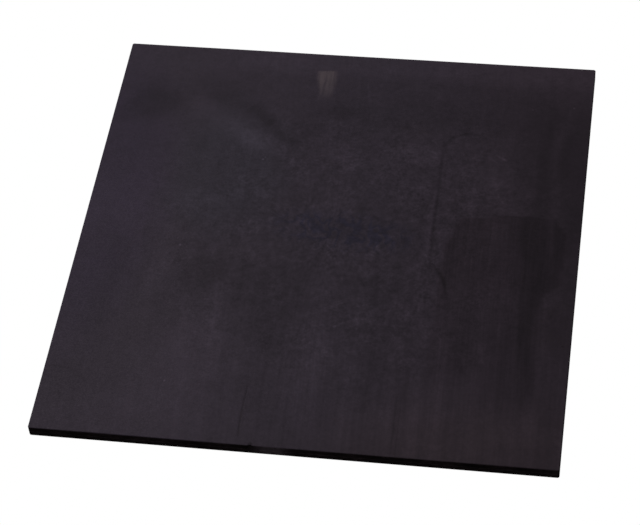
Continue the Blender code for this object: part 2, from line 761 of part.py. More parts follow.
def channelled_block(name, span, material, parent):
    """A block across the case, with a channel below for one strip and one above for the other."""
    half_channel = STRIP_WIDTH / 2 + GAP
    lower = FIXED_STRIP_Z + STRIP + GAP
    upper = MOVING_STRIP_Z - GAP
    low, high = -BLOCK_HALF_Z, BLOCK_HALF_Z
    outline = [
        (-BLOCK_HALF_X, low),
        (FIXED_STRIP_X - half_channel, low),
        (FIXED_STRIP_X - half_channel, lower),
        (FIXED_STRIP_X + half_channel, lower),
        (FIXED_STRIP_X + half_channel, low),
        (BLOCK_HALF_X, low),
        (BLOCK_HALF_X, high),
        (MOVING_STRIP_X + half_channel, high),
        (MOVING_STRIP_X + half_channel, upper),
        (MOVING_STRIP_X - half_channel, upper),
        (MOVING_STRIP_X - half_channel, high),
        (-BLOCK_HALF_X, high),
    ]
    bm = bmesh.new()
    prism(bm, "Y", outline, *span)
    solid(name, bm, material, parent)


def contact(bm, x, y, low, high):
    """A round contact button."""
    prism(bm, "Z", [(x + u, y + v) for u, v in circle(CONTACT_RADIUS)], low, high)


def fixed_contact_arm(material, parent):
    """An L-shaped strip that carries the lower contact."""
    half = STRIP_WIDTH / 2
    outer_x = FIXED_STRIP_X + half
    inner_x = FIXED_STRIP_X - half
    foot_x = CONTACT_X - CONTACT_RADIUS - 0.3
    foot_front, foot_rear = CONTACT_Y - 1.2, CONTACT_Y + 1.2
    outline = [(foot_x, foot_front), (outer_x, foot_front), (outer_x, STRIP_END), (inner_x, STRIP_END),
               (inner_x, foot_rear), (foot_x, foot_rear)]
    top = FIXED_STRIP_Z + STRIP
    bm = bmesh.new()
    prism(bm, "Z", outline, FIXED_STRIP_Z, top)
    arm = solid("fixed_contact_arm", bm, material, parent)
    button = bmesh.new()
    contact(button, CONTACT_X, CONTACT_Y, top - 0.15, top + CONTACT_HEIGHT)
    combine(arm, cutter("fixed_contact_button", button, parent), "UNION")


def moving_terminal(material, parent):
    """The strip from the blade's root out to its lead."""
    half = STRIP_WIDTH / 2
    bm = bmesh.new()
    box(bm, (MOVING_STRIP_X - half, MOVING_STRIP_X + half), (INSULATOR_SPAN[0], STRIP_END),
        (MOVING_STRIP_Z, MOVING_STRIP_Z + STRIP))
    solid("moving_terminal", bm, material, parent)


def bimetal_arm(material, parent):
    """The blade that bows up and opens the contact; its origin is on its hinge line."""
    reach = HINGE_Y - BLADE_TIP
    half = STRIP / 2
    bm = bmesh.new()
    box(bm, (-BLADE_WIDTH / 2, BLADE_WIDTH / 2), (-reach, -GAP), (-half, half))
    arm = solid("bimetal_arm", bm, material, parent, (CONTACT_X, HINGE_Y, HINGE_Z))
    button = bmesh.new()
    button_low = FIXED_STRIP_Z + STRIP + CONTACT_HEIGHT + GAP
    contact(button, CONTACT_X, CONTACT_Y, button_low, MOVING_STRIP_Z + STRIP / 2)
    combine(arm, cutter("moving_contact_button", button, parent), "UNION")


# ---------------------------------------------------------------- assembly


def build_mat():
    """Make every piece."""
    rubber = (0.022, 0.020, 0.023)
    finish_material("helper", (0.8, 0.2, 0.2), 0.5)
    tray("bottom_cover", finish_material("rubber_bottom", rubber, 0.78), 0.0, SEAM_LOW)
    tray("top_cover", finish_material("rubber_top", rubber, 0.7), THICKNESS, SEAM_HIGH)
    edge_seal(finish_material("butyl_bead", (0.03, 0.03, 0.03), 0.6))

    insulation_felt(finish_material("felt", (0.62, 0.6, 0.55), 0.95))
    foil = finish_material("aluminium_foil", (0.8, 0.81, 0.82), 0.28, 1.0)
    layer("reflector_foil", foil, FOIL_LOW, FOIL_HIGH)
    scrim = finish_material("glass_scrim", (0.85, 0.84, 0.8), 0.9)
    layer("wire_scrim", scrim, SCRIM_LOW, SCRIM_HIGH)
    heating_wire(finish_material("silicone_wire", (0.36, 0.09, 0.06), 0.6))
    scrim_tapes(finish_material("scrim_tape", (0.9, 0.89, 0.84), 0.85))
    heat_spreader(finish_material("spreader_foil", (0.82, 0.82, 0.83), 0.35, 1.0))

    brass = finish_material("tinned_brass", (0.75, 0.7, 0.6), 0.3, 1.0)
    terminals = group("terminal_group", INLET_X, 0, 0)
    terminal_box_base(finish_material("box_base_plastic", (0.05, 0.05, 0.055), 0.5), terminals)
    terminal_box_lid(finish_material("box_lid_plastic", (0.06, 0.06, 0.065), 0.5), terminals)
    terminal_box_screws(finish_material("zinc_screw", (0.6, 0.6, 0.62), 0.35, 1.0), terminals)
    inlet_shell(finish_material("inlet_plastic", (0.02, 0.02, 0.022), 0.35), terminals)
    inlet_gasket(finish_material("gasket_rubber", (0.04, 0.04, 0.04), 0.8), terminals)
    nickel = finish_material("nickel_pin", (0.78, 0.76, 0.7), 0.2, 1.0)
    for pole, x in (("line", -PIN_X), ("neutral", PIN_X)):
        inlet_pin(f"inlet_pin_{pole}", x, nickel, terminals)
        receptacle(f"receptacle_{pole}", x, brass, terminals)
    splices(brass, finish_material("heat_shrink", (0.02, 0.02, 0.02), 0.55), terminals)
    brown = finish_material("lead_brown", (0.16, 0.06, 0.03), 0.45)
    leads(brown, finish_material("lead_black", (0.02, 0.02, 0.02), 0.45),
          finish_material("lead_blue", (0.03, 0.1, 0.3), 0.45))

    cutout = group("cutout_group", INLET_X, CUTOUT_Y, CUTOUT_Z)
    cutout_case(finish_material("steel_can", (0.62, 0.62, 0.64), 0.3, 1.0), cutout)
    channelled_block("cutout_insulator", INSULATOR_SPAN,
                     finish_material("phenolic", (0.13, 0.06, 0.03), 0.5), cutout)
    channelled_block("cutout_epoxy", EPOXY_SPAN, finish_material("epoxy", (0.08, 0.07, 0.03), 0.25), cutout)
    fixed_contact_arm(finish_material("contact_brass", (0.72, 0.5, 0.25), 0.3, 1.0), cutout)
    moving_terminal(finish_material("terminal_brass", (0.72, 0.5, 0.25), 0.3, 1.0), cutout)
    bimetal_arm(finish_material("bimetal", (0.66, 0.6, 0.55), 0.3, 1.0), cutout)


for old in list(bpy.data.objects):
    bpy.data.objects.remove(old, do_unlink=True)
build_mat()
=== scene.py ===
"""Looks of the seedling heat mat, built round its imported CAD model.

The two rubber trays are rebuilt as finer closed meshes with the marks that a used mat has. The soft
layers inside are rebuilt too. Every other CAD node keeps its shape and gets a procedural material.

X runs across the mat, +Y to its rear edge, +Z up.
"""

import math

import bpy
import numpy as np
from mathutils import Matrix, Vector


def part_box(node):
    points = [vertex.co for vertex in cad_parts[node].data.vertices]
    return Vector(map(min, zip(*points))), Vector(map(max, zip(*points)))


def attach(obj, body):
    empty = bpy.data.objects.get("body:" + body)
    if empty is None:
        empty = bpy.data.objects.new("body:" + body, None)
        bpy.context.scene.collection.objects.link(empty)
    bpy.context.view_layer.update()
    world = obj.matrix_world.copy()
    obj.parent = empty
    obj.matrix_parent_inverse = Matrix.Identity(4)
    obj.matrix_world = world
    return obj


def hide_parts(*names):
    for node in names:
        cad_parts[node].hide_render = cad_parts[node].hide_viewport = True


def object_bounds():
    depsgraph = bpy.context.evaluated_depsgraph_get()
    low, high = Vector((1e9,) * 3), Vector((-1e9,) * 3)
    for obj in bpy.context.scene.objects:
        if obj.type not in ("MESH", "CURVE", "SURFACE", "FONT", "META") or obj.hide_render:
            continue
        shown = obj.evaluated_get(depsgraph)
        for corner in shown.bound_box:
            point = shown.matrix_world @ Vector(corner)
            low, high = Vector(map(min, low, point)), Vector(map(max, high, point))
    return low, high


MM = 0.001

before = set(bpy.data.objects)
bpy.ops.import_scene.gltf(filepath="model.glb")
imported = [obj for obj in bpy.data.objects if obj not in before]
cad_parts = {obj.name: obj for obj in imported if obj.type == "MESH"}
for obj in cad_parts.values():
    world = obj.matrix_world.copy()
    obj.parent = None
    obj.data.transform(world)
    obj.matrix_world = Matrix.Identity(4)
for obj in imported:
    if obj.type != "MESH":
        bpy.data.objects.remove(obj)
cad_low, cad_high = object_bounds()

TOP = cad_high.z / MM
HALF_WIDTH = (cad_high.x - cad_low.x) / 2 / MM
HALF_DEPTH = (cad_high.y - cad_low.y) / 2 / MM

SKY = 0.45
SWEEP_GLOW = 1.0
SWEEP_SIDES = 64
SWEEP_PROFILE = ((24.0, 0.0), (28.0, 1.0), (30.0, 4.0), (30.5, 20.0))  # radius and height in metres
SWEEP_DROP = 0.2 * MM  # keeps the floor clear of the underside


# ---------------------------------------------------------------- camera, floor and light


def sky_direction(azimuth, elevation):
    """Unit vector from the mat towards a viewer; azimuth 0 is straight in front."""
    turn, lift = math.radians(azimuth), math.radians(elevation)
    return Vector((math.sin(turn) * math.cos(lift), -math.cos(turn) * math.cos(lift), math.sin(lift)))


def add_camera():
    """The photograph's camera: above and in front of the mat, a little to its right, slightly rolled."""
    azimuth, elevation, roll, distance = 11.92, 49.43, -5.09, 2.3143
    target = Vector((-0.0034, -0.0326, cad_high.z))
    data = bpy.data.cameras.new("photo_camera")
    data.lens = 129.41
    data.sensor_width = 36.0
    camera = bpy.data.objects.new("photo_camera", data)
    bpy.context.scene.collection.objects.link(camera)
    back = sky_direction(azimuth, elevation)
    turn = math.radians(azimuth)
    right = Vector((math.cos(turn), math.sin(turn), 0))
    up = back.cross(right)
    axes = Matrix((right, up, back)).transposed() @ Matrix.Rotation(math.radians(roll), 3, "Z")
    camera.matrix_world = Matrix.Translation(target + back * distance) @ axes.to_4x4()
    bpy.context.scene.camera = camera


def add_sweep():
    """A white studio sweep: a floor that turns up into a far wall.

    Only the camera sees it, so that it neither lights the mat's edges nor shades the mat.
    """
    count = SWEEP_SIDES
    turns = [2 * math.pi * i / count for i in range(count)]
    points = [(r * math.cos(t), r * math.sin(t), z) for r, z in SWEEP_PROFILE for t in turns]
    faces = [tuple(range(count))]
    for level in range(len(SWEEP_PROFILE) - 1):
        start = level * count
        for i in range(count):
            j = (i + 1) % count
            faces.append((start + i, start + j, start + count + j, start + count + i))
    mesh = bpy.data.meshes.new("sweep")
    mesh.from_pydata(points, [], faces)
    mesh.shade_smooth()
    sweep = bpy.data.objects.new("sweep", mesh)
    sweep.location.z = -SWEEP_DROP
    bpy.context.scene.collection.objects.link(sweep)
    material = bpy.data.materials.new("white_sweep")
    material.use_nodes = True
    shader = material.node_tree.nodes["Principled BSDF"]
    shader.inputs["Base Color"].default_value = (0.9, 0.9, 0.9, 1)
    shader.inputs["Roughness"].default_value = 0.9
    shader.inputs["Specular IOR Level"].default_value = 0.0
    shader.inputs["Emission Color"].default_value = (1, 1, 1, 1)
    shader.inputs["Emission Strength"].default_value = SWEEP_GLOW
    mesh.materials.append(material)
    sweep.visible_diffuse = False
    sweep.visible_glossy = False
    sweep.visible_shadow = False


def add_sky():
    """Soft light from above that ends just under the horizon."""
    world = bpy.data.worlds.new("studio")
    bpy.context.scene.world = world
    world.use_nodes = True
    tree = world.node_tree
    background = tree.nodes["Background"]
    where = tree.nodes.new("ShaderNodeTexCoord")
    parts = tree.nodes.new("ShaderNodeSeparateXYZ")
    lift = tree.nodes.new("ShaderNodeMapRange")
    lift.interpolation_type = "SMOOTHSTEP"
    tree.links.new(where.outputs["Generated"], parts.inputs[0])
    tree.links.new(parts.outputs["Z"], lift.inputs["Value"])
    lift.inputs["From Min"].default_value = -0.02
    lift.inputs["From Max"].default_value = 0.25
    lift.inputs["To Min"].default_value = 0.0
    lift.inputs["To Max"].default_value = SKY
    tree.links.new(lift.outputs["Result"], background.inputs["Strength"])
    background.inputs["Color"].default_value = (1, 1, 1, 1)


def add_lamp(name, azimuth, elevation, distance, size, power):
    """A soft square lamp that faces the mat."""
    data = bpy.data.lights.new(name, "AREA")
    data.size = size
    data.energy = power
    lamp = bpy.data.objects.new(name, data)
    away = sky_direction(azimuth, elevation)
    lamp.location = away * distance
    lamp.rotation_euler = away.to_track_quat("Z", "Y").to_euler()
    bpy.context.scene.collection.objects.link(lamp)


# ---------------------------------------------------------------- node tools


class Nodes:
    """Short ways to build a material's node tree. A value is a number, a tuple or another node's output."""

    def __init__(self, name):
        self.material = bpy.data.materials.new(name)
        self.material.use_nodes = True
        self.tree = self.material.node_tree
        self.shader = self.tree.nodes["Principled BSDF"]
        place = self.tree.nodes.new("ShaderNodeTexCoord").outputs["Object"]
        self.place = self.scale(place, (1 / MM,) * 3)

    def feed(self, socket, value):
        if isinstance(value, bpy.types.NodeSocket):
            self.tree.links.new(value, socket)
        else:
            socket.default_value = value

    def node(self, kind, inputs, **settings):
        node = self.tree.nodes.new(kind)
        for key, value in settings.items():
            setattr(node, key, value)
        for key, value in inputs.items():
            self.feed(node.inputs[key], value)
        return node

    def math(self, operation, a, b=0.0, c=0.0):
        return self.node("ShaderNodeMath", {0: a, 1: b, 2: c}, operation=operation).outputs[0]

    def vector(self, operation, a, b=(0, 0, 0)):
        return self.node("ShaderNodeVectorMath", {0: a, 1: b}, operation=operation)

    def scale(self, vector, factors):
        return self.vector("MULTIPLY", vector, factors).outputs[0]

    def shift(self, vector, offset):
        return self.vector("ADD", vector, offset).outputs[0]

    def split(self, vector):
        return tuple(self.node("ShaderNodeSeparateXYZ", {0: vector}).outputs)

    def join(self, x, y):
        return self.node("ShaderNodeCombineXYZ", {0: x, 1: y}).outputs[0]

    def noise(self, vector, size, detail=2.0, roughness=0.5, distortion=0.0):
        """Cloudy noise from 0 to 1 round 0.5; size is the spacing of its clouds."""
        inputs = {"Vector": vector, "Scale": 1 / size, "Detail": detail, "Roughness": roughness,
                  "Distortion": distortion}
        return self.node("ShaderNodeTexNoise", inputs).outputs["Fac"]

    def cells(self, size, **settings):
        """Distance to the middle, or as set to the edge, of scattered cells; size is their spacing."""
        inputs = {"Vector": self.place, "Scale": 1 / size}
        return self.node("ShaderNodeTexVoronoi", inputs, **settings).outputs["Distance"]

    def range(self, value, low, high, out_low=0.0, out_high=1.0, smooth=True):
        inputs = {"Value": value, "From Min": low, "From Max": high, "To Min": out_low, "To Max": out_high}
        kind = "SMOOTHSTEP" if smooth else "LINEAR"
        return self.node("ShaderNodeMapRange", inputs, interpolation_type=kind).outputs["Result"]

    def colour(self, amount, a, b, blend="MIX"):
        node = self.node("ShaderNodeMix", {}, data_type="RGBA", blend_type=blend)
        for socket, value in ((node.inputs[0], amount), (node.inputs[6], a), (node.inputs[7], b)):
            self.feed(socket, (*value, 1.0) if isinstance(value, tuple) and len(value) == 3 else value)
        return node.outputs[2]

    def local(self, vector, centre, half_size, turn=0.0):
        """The vector in a frame of its own, in half sizes from a centre, turned by degrees."""
        inputs = {"Vector": vector, "Location": (*centre, 0.0), "Rotation": (0.0, 0.0, math.radians(turn)),
                  "Scale": (*half_size, 1.0)}
        return self.node("ShaderNodeMapping", inputs, vector_type="TEXTURE").outputs[0]

    def blot(self, vector, centre, half_size, turn=0.0, core=0.0):
        """A soft oval: 1 in its core, 0 at its rim."""
        reach = self.vector("LENGTH", self.local(vector, centre, half_size, turn)).outputs["Value"]
        return self.range(reach, 1.0, core)

    def block(self, vector, centre, half_size, turn, soft):
        """A soft rectangle: 1 inside, 0 outside, with a soft share of each half size."""
        x, y, _ = self.split(self.vector("ABSOLUTE", self.local(vector, centre, half_size, turn)).outputs[0])
        return self.math("MULTIPLY", *(self.range(away, 1 + soft / 2, 1 - soft / 2) for away in (x, y)))

    def stroke(self, vector, start, end, half_width):
        """A soft straight mark: 1 on its middle line, 0 at its sides and ends."""
        run = (end[0] - start[0], end[1] - start[1])
        middle = ((start[0] + end[0]) / 2, (start[1] + end[1]) / 2)
        turn = math.degrees(math.atan2(run[1], run[0]))
        local = self.local(vector, middle, (math.hypot(*run) / 2, half_width), turn)
        along, across, _ = self.split(self.vector("ABSOLUTE", local).outputs[0])
        return self.math("MULTIPLY", self.range(along, 1.0, 0.8), self.range(across, 1.0, 0.0))

    def bump(self, height, strength, distance):
        inputs = {"Height": height, "Strength": strength, "Distance": distance * MM}
        return self.node("ShaderNodeBump", inputs).outputs[0]


# ---------------------------------------------------------------- rubber

FACE = (0.0202, 0.0155, 0.0220)
FACE_BLOOM = (0.0190, 0.0162, 0.0226)
FACE_LEFT = (0.0212, 0.0152, 0.0266)
FACE_RIGHT = (0.0212, 0.0152, 0.0210)
FACE_WARM = (0.0216, 0.0153, 0.0193)
FACE_PATCH = (0.0216, 0.0150, 0.0212)
SMEAR = (0.58, 0.66, 0.86)
SCUFF = (0.058, 0.045, 0.050)
# the edges' base colour is painted shade: the rounded edges and sides darker than the face
EDGE_SHADE = (0.0052, 0.0036, 0.0036)
EDGE_DUSTY = (0.0220, 0.0160, 0.0172)
EDGE_RUBBED = (0.0560, 0.0440, 0.0520)
UNDER_DARK = (0.0105, 0.0090, 0.0108)
UNDER_PALE = (0.0215, 0.0190, 0.0210)

# where the face's tints lie: centre and half size
BLOOM_PLACE = ((-122, 85), (96, 125))
LEFT_PLACE = ((-262, 40), (112, 260))
WARM_PLACE = ((200, -262), (240, 110))

# centre and half size of the scuff, the smear and the rubbed place on the front edge
SCUFF_PLACE, SCUFF_TURN = ((-31.5, 217.0), (9.8, 21.5)), 4.0
SMEAR_PLACE, SMEAR_TURN = ((14, 11), (96, 32)), -6.0
SMEAR_SHIFT = (22, 0, 0)  # moves the strokes inside the smear
RUB_PLACE = ((-18, -263), (24, 30))

# where the noise that pushes outlines about is read, for each of the two directions
WARP_OFFSETS = ((0.0, 0.0, 0.0), (731.0, -457.0, 0.0))

# layers of the wipe streaks (spacing, spread, distortion) and of the mottling (spacing, spread)
STREAKS = ((30.0, 0.42, 0.2), (12.0, 0.46, 0.3), (4.5, 0.36, 0.3), (2.2, 0.26, 0.0))
GRAIN = ((34.0, 0.26), (12.0, 0.48), (5.0, 0.56), (2.4, 0.44))

# gain of the painted reflection along the far edge
FAR_REFLECTION_GAIN = 0.34
# the edges' darker look is painted shade
EDGE_BLEND = (0.9, 0.15)  # depths under a face between which its look gives way to the edges' look
TONE_LAYER = "soft_tone"

# lighter and darker areas of the top: centre, half size, turn in degrees, core, gain
AREAS = (
    ((-112, 140), (50, 20), -35, 0.2, 0.20),
    ((-90, 125), (32, 25), -38, 0.3, 0.24),
    ((-140, 45), (44, 22), -8, 0.1, 0.20),
    ((-160, 0), (26, 14), 0, 0.1, 0.18),
    ((-165, -60), (16, 70), 0, 0.2, 0.20),
    ((-118, -165), (100, 95), 0, 0.1, 0.42),
    ((-130, -245), (150, 60), 0, 0.1, 0.30),
    ((0, -165), (48, 75), 0, 0.1, 0.42),
    ((-245, -255), (60, 40), 0, 0.2, 0.12),
    ((-122, -57), (30, 34), 0, 0.5, -0.24),
    ((0, -80), (36, 60), 0, 0.2, 0.12),
    ((140, -185), (50, 40), 0, 0.2, 0.20),
    ((55, -66), (40, 34), 0, 0.2, -0.16),
    ((168, -112), (38, 42), 0, 0.2, -0.14),
    ((-100, -120), (60, 40), 0, 0.2, 0.12),
    ((-70, -30), (40, 26), 0, 0.2, 0.16),
    ((0, 42), (34, 24), 0, 0.2, 0.14),
    ((-215, 170), (44, 34), 20, 0.3, -0.30),
    ((-150, 208), (64, 24), -10, 0.2, -0.14),
    ((-42, 146), (24, 34), 0, 0.2, -0.16),
    ((200, 120), (28, 110), 0, 0.3, -0.20),
    ((-205, 196), (50, 30), 0, 0.2, -0.12),
    ((-245, 135), (84, 130), 0, 0.3, -0.22),
    ((-236, -70), (56, 100), 0, 0.3, -0.16),
    ((-18, 180), (40, 20), 4, 0.2, -0.22),
    ((-150, 122), (16, 20), 0, 0.2, -0.12),
    ((60, 178), (110, 34), 0, 0.3, -0.12),
    ((175, 188), (90, 48), 0, 0.3, -0.18),
    ((145, 90), (46, 44), 0, 0.2, 0.14),
    ((84, 122), (32, 24), 0, 0.2, 0.42),
    ((5, 116), (26, 34), 0, 0.2, 0.24),
    ((2, 66), (24, 34), 0, 0.2, 0.18),
    ((80, 76), (26, 22), 0, 0.2, 0.18),
    ((40, 110), (60, 40), 0, 0.2, 0.06),
    ((120, -232), (190, 46), 0, 0.3, 0.20),
)

# long soft bands, of the bloom at the upper left and of the wiping in front: start, end, half width, gain
BANDS = (
    ((-160, 204), (-104, 172), 15, -0.20),
    ((-114, 180), (-74, 151), 12, -0.34),
    ((-86, 160), (-48, 123), 12, -0.34),
    ((-178, 192), (-108, 142), 18, 0.12),
    ((-124, 152), (-74, 106), 20, 0.12),
    ((-214, -10), (-208, -165), 17, -0.14),
    ((-92, -20), (-92, -160), 6, 0.12),
    ((-79, -34), (-80, -182), 6, -0.16),
    ((25, -116), (27, -268), 7, -0.10),
    ((60, -104), (62, -268), 10, -0.10),
    ((43, -120), (44, -268), 6, 0.08),
    ((100, -150), (100, -268), 5, -0.14),
)

# the darker patch on the right: its sides, the lean of its left side and its right shoulder
PATCH_LEFT, PATCH_RIGHT, PATCH_WAIST = 131.0, 240.0, 222.0
PATCH_TOP, PATCH_BOTTOM = 45.0, -205.0
PATCH_LEAN, PATCH_SHOULDER = 14.0, 10.0
PATCH_GAIN = -0.32

# the darkest bands along the right side, as soft ovals: centre, half size, turn in degrees, core, gain
PATCH_CORES = (
    ((212, 10), (15, 250), 0, 0.4, -0.32),
    ((244, 105), (28, 140), 0, 0.4, -0.38),
    ((250, -60), (24, 150), 0, 0.4, -0.26),
)

# darker stretches, as soft rectangles: centre, half size, turn in degrees, softness, gain
SOFT_BLOCKS = (
    ((213, -6), (24, 46), 0, 0.3, -0.16),
    ((206, -118), (19, 78), 0, 0.4, -0.12),
    ((-50, -88), (36, 62), 0, 0.8, -0.14),
)

# small pale and dark specks: place, radius, gain
SPECKS = (
    ((-83, 103), 1.7, 1.3),
    ((-81, 106), 1.2, 0.8),
    ((-149, -22), 1.9, 1.4),
    ((-153, -13), 1.1, 0.7),
    ((-133, -195), 1.7, 1.0),
    ((-137, -192), 1.2, 0.5),
    ((35, 80), 3.2, 0.35),
    ((22, -113), 2.2, 0.7),
    ((192, 198), 1.5, 0.6),
    ((235, 204), 1.7, 0.8),
    ((-107, 17), 3.0, 0.3),
    ((-190, 74), 3.5, 0.2),
    ((51, -6), 1.1, 0.8),
    ((26, 156), 1.4, 0.4),
    ((168, 124), 3.0, 0.35),
    ((96, 1), 1.7, -0.5),
    ((109, -24), 1.7, -0.45),
    ((-216, 50), 1.8, -0.4),
    ((-82, -36), 2.2, -0.25),
    ((213, 50), 1.6, -0.4),
    ((246, -117), 2.0, -0.4),
    # painted shade in the nick of the front edge
    ((-38, -261.5), 3.0, -0.7),
)

# straight marks: start, end, half width, gain; the darker ones along the crease and the crack are painted
# shade in their grooves
LINES = (
    # painted shade along the crease
    ((103.4, 146), (104.6, 104), 3.4, -0.18),
    ((104.4, 120), (105.3, 56), 3.2, -0.24),
    ((105.3, 66), (105.6, 14), 3.4, -0.32),
    ((105.6, 26), (107.2, -26), 3.2, -0.28),
    ((107, -18), (118, -38), 3.4, -0.30),
    ((115, -28), (125.5, -52), 4.4, -0.42),
    ((123.5, -42), (127.5, -70), 3.6, -0.28),
    ((111, -34), (95, -66), 3.0, -0.20),
    ((101.4, 70), (102.0, -22), 2.0, 0.12),
    ((112.0, 20), (118.0, -20), 4.0, 0.14),
    # painted shade in the crack
    ((-51, -190), (-52, -226), 1.7, -0.22),
    ((-52, -222), (-51, -256), 1.9, -0.30),
    ((93.5, -186), (95.5, -266), 1.7, -0.22),
    ((98.0, -190), (100, -266), 1.4, -0.16),
    ((12, 228), (19, 186), 1.4, 0.18),
    ((16, 216), (23, 168), 1.4, 0.16),
    ((23, -113), (31, -106), 2.6, 0.40),
    ((26, -110), (38, -104), 2.0, 0.25),
    ((-250, -187), (-226, -189), 2.2, -0.24),
    ((167, -116), (170, -148), 4.4, 0.20),
    ((211, -55), (213, -165), 3.0, -0.16),
    ((150, 45), (205, 47), 2.2, -0.18),
    ((128, 40), (128, -12), 2.4, -0.14),
    ((126, -60), (140, -150), 4.0, -0.12),
    ((103, 136), (113, 153), 3.4, -0.32),
    ((110, 150), (127, 158), 3.4, -0.32),
    ((122, 158), (142, 156), 3.0, -0.24),
    ((150, 128), (162, 118), 2.2, 0.24),
    ((162, 128), (172, 122), 2.4, 0.28),
    ((156, 112), (170, 60), 5.0, 0.14),
    ((90, 146), (100, 136), 2.6, 0.22),
    ((86, 132), (100, 124), 2.4, 0.26),
    ((92, 122), (104, 116), 2.0, 0.20),
)


def unfolded(nodes):
    """The place on the sheet with its height left out, so that a mark runs straight through the sheet."""
    return nodes.scale(nodes.place, (1, 1, 0))


def warped(nodes, vector, size, reach):
    """The vector pushed about by noise, so that a mark's outline wanders."""
    pushes = []
    for offset in WARP_OFFSETS:
        cloud = nodes.noise(nodes.shift(vector, offset), size)
        pushes.append(nodes.math("MULTIPLY_ADD", cloud, 2 * reach, -reach))
    return nodes.vector("ADD", vector, nodes.join(*pushes)).outputs[0]


def times(nodes, tone, mask, gain):
    """The tone made lighter or darker where the mask is 1."""
    return nodes.math("MULTIPLY", tone, nodes.math("MULTIPLY_ADD", mask, gain, 1.0))


def mottled(nodes, tone, noise, strength, spread):
    """The tone made lighter and darker by noise."""
    signed = nodes.math("SUBTRACT", noise, 0.5)
    scaled = nodes.math("MULTIPLY", nodes.math("MULTIPLY", signed, strength), 2 * spread)
    return nodes.math("MULTIPLY_ADD", tone, scaled, tone)


def soft_blocks(nodes, tone, vector):
    """The tone with its soft rectangles."""
    for centre, half_size, turn, soft, gain in SOFT_BLOCKS:
        tone = times(nodes, tone, nodes.block(vector, centre, half_size, turn, soft), gain)
    return tone


def specks(nodes, tone, vector):
    """The tone with its small specks, one of them painted shade in the nick of the front edge."""
    for place, radius, gain in SPECKS:
        tone = times(nodes, tone, nodes.blot(vector, place, (radius, radius), 0.0, 0.3), gain)
    return tone


def straight_marks(nodes, tone, vector):
    """The tone with its straight marks, some of them painted shade in the crease and the crack."""
    for start, end, half_width, gain in LINES:
        tone = times(nodes, tone, nodes.stroke(vector, start, end, half_width), gain)
    return tone


def patch_mask(nodes, vector):
    """1 inside the darker patch on the right, with a crisp top and left side."""
    x, y, _ = nodes.split(vector)
    lean = nodes.math("MULTIPLY_ADD", nodes.range(y, -10.0, PATCH_TOP), PATCH_LEAN, -PATCH_LEAN)
    from_left = nodes.range(nodes.math("SUBTRACT", x, lean), PATCH_LEFT - 3, PATCH_LEFT + 5)
    right = nodes.range(y, -62.0, -34.0, PATCH_WAIST, PATCH_RIGHT)
    right = nodes.math("SUBTRACT", right, nodes.range(y, 22.0, 44.0, 0.0, PATCH_SHOULDER))
    from_right = nodes.range(nodes.math("SUBTRACT", x, right), 3.0, -3.0)
    top = nodes.range(x, 130.0, 185.0, PATCH_TOP - 5, PATCH_TOP + 1)
    under_top = nodes.range(nodes.math("SUBTRACT", y, top), 1.5, -1.5)
    over_bottom = nodes.range(y, PATCH_BOTTOM - 20, PATCH_BOTTOM + 60, 0.0, 0.5)
    over_bottom = nodes.math("ADD", over_bottom, nodes.range(y, -92.0, -22.0, 0.0, 0.5))
    across = nodes.math("MULTIPLY", from_left, from_right)
    return nodes.math("MULTIPLY", across, nodes.math("MULTIPLY", under_top, over_bottom))


def wiped_frame(nodes, flat):
    """Coordinates along and across the direction in which the sheet was wiped."""
    x, y, _ = nodes.split(flat)
    lean = nodes.math("MULTIPLY_ADD", x, -0.0001, 0.05)
    across = nodes.math("MULTIPLY_ADD", y, lean, x)
    along = nodes.math("MULTIPLY", y, 0.05)
    return nodes.join(across, along)


def streaks(nodes, tone, flat, patch):
    """The tone with wipe streaks, stronger near the front and in the darker patch."""
    wiped = wiped_frame(nodes, flat)
    x, y, _ = nodes.split(flat)
    strength = nodes.math("MULTIPLY_ADD", nodes.range(y, 0.0, -120.0), 0.30, 0.22)
    strength = nodes.math("MULTIPLY", strength, nodes.range(x, -190.0, 20.0, 0.45, 1.0))
    strength = nodes.math("MULTIPLY_ADD", patch, 0.70, strength)
    for size, spread, distortion in STREAKS:
        noise = nodes.noise(wiped, size, distortion=distortion)
        tone = mottled(nodes, tone, noise, strength, spread)
    return tone


def grain(nodes, tone, flat, patch):
    """The tone with the mottling of a calendered sheet, which is smoother near the edges and in the patch."""
    rubbed = nodes.blot(warped(nodes, flat, 60, 20), (40, -5), (270, 250), 0.0, 0.35)
    patchy = nodes.range(nodes.noise(flat, 40), 0.3, 0.7, 0.7, 1.15)
    strength = nodes.math("MULTIPLY", nodes.math("MULTIPLY_ADD", rubbed, 0.75, 0.42), patchy)
    strength = nodes.math("MULTIPLY", strength, nodes.math("MULTIPLY_ADD", patch, -0.3, 1.0))
    for size, spread in GRAIN:
        tone = mottled(nodes, tone, nodes.noise(flat, size), strength, spread)
    return tone


def scuff_mask(nodes, vector):
    """The pale scuff over the terminal box: crisp at the rear, narrower and fainter at the front."""
    from_middle, along, _ = nodes.split(nodes.local(vector, *SCUFF_PLACE, SCUFF_TURN))
    narrowing = nodes.range(along, -1.2, 0.5, 0.62, 1.0)
    across = nodes.math("DIVIDE", nodes.math("ABSOLUTE", from_middle), narrowing)
    sides = nodes.range(across, 1.30, 0.62)
    rear = nodes.range(along, 1.05, 0.90)
    front = nodes.range(along, -1.15, -0.35)
    stripes = nodes.noise(nodes.scale(vector, (1, 0.12, 0)), 3.2)
    worn = nodes.range(stripes, 0.32, 0.64, 0.42, 1.0)
    level = nodes.range(along, -0.7, 0.7, 0.50, 1.0)
    mask = nodes.math("MULTIPLY", nodes.math("MULTIPLY", sides, rear), front)
    return nodes.math("MULTIPLY", nodes.math("MULTIPLY", mask, worn), level)


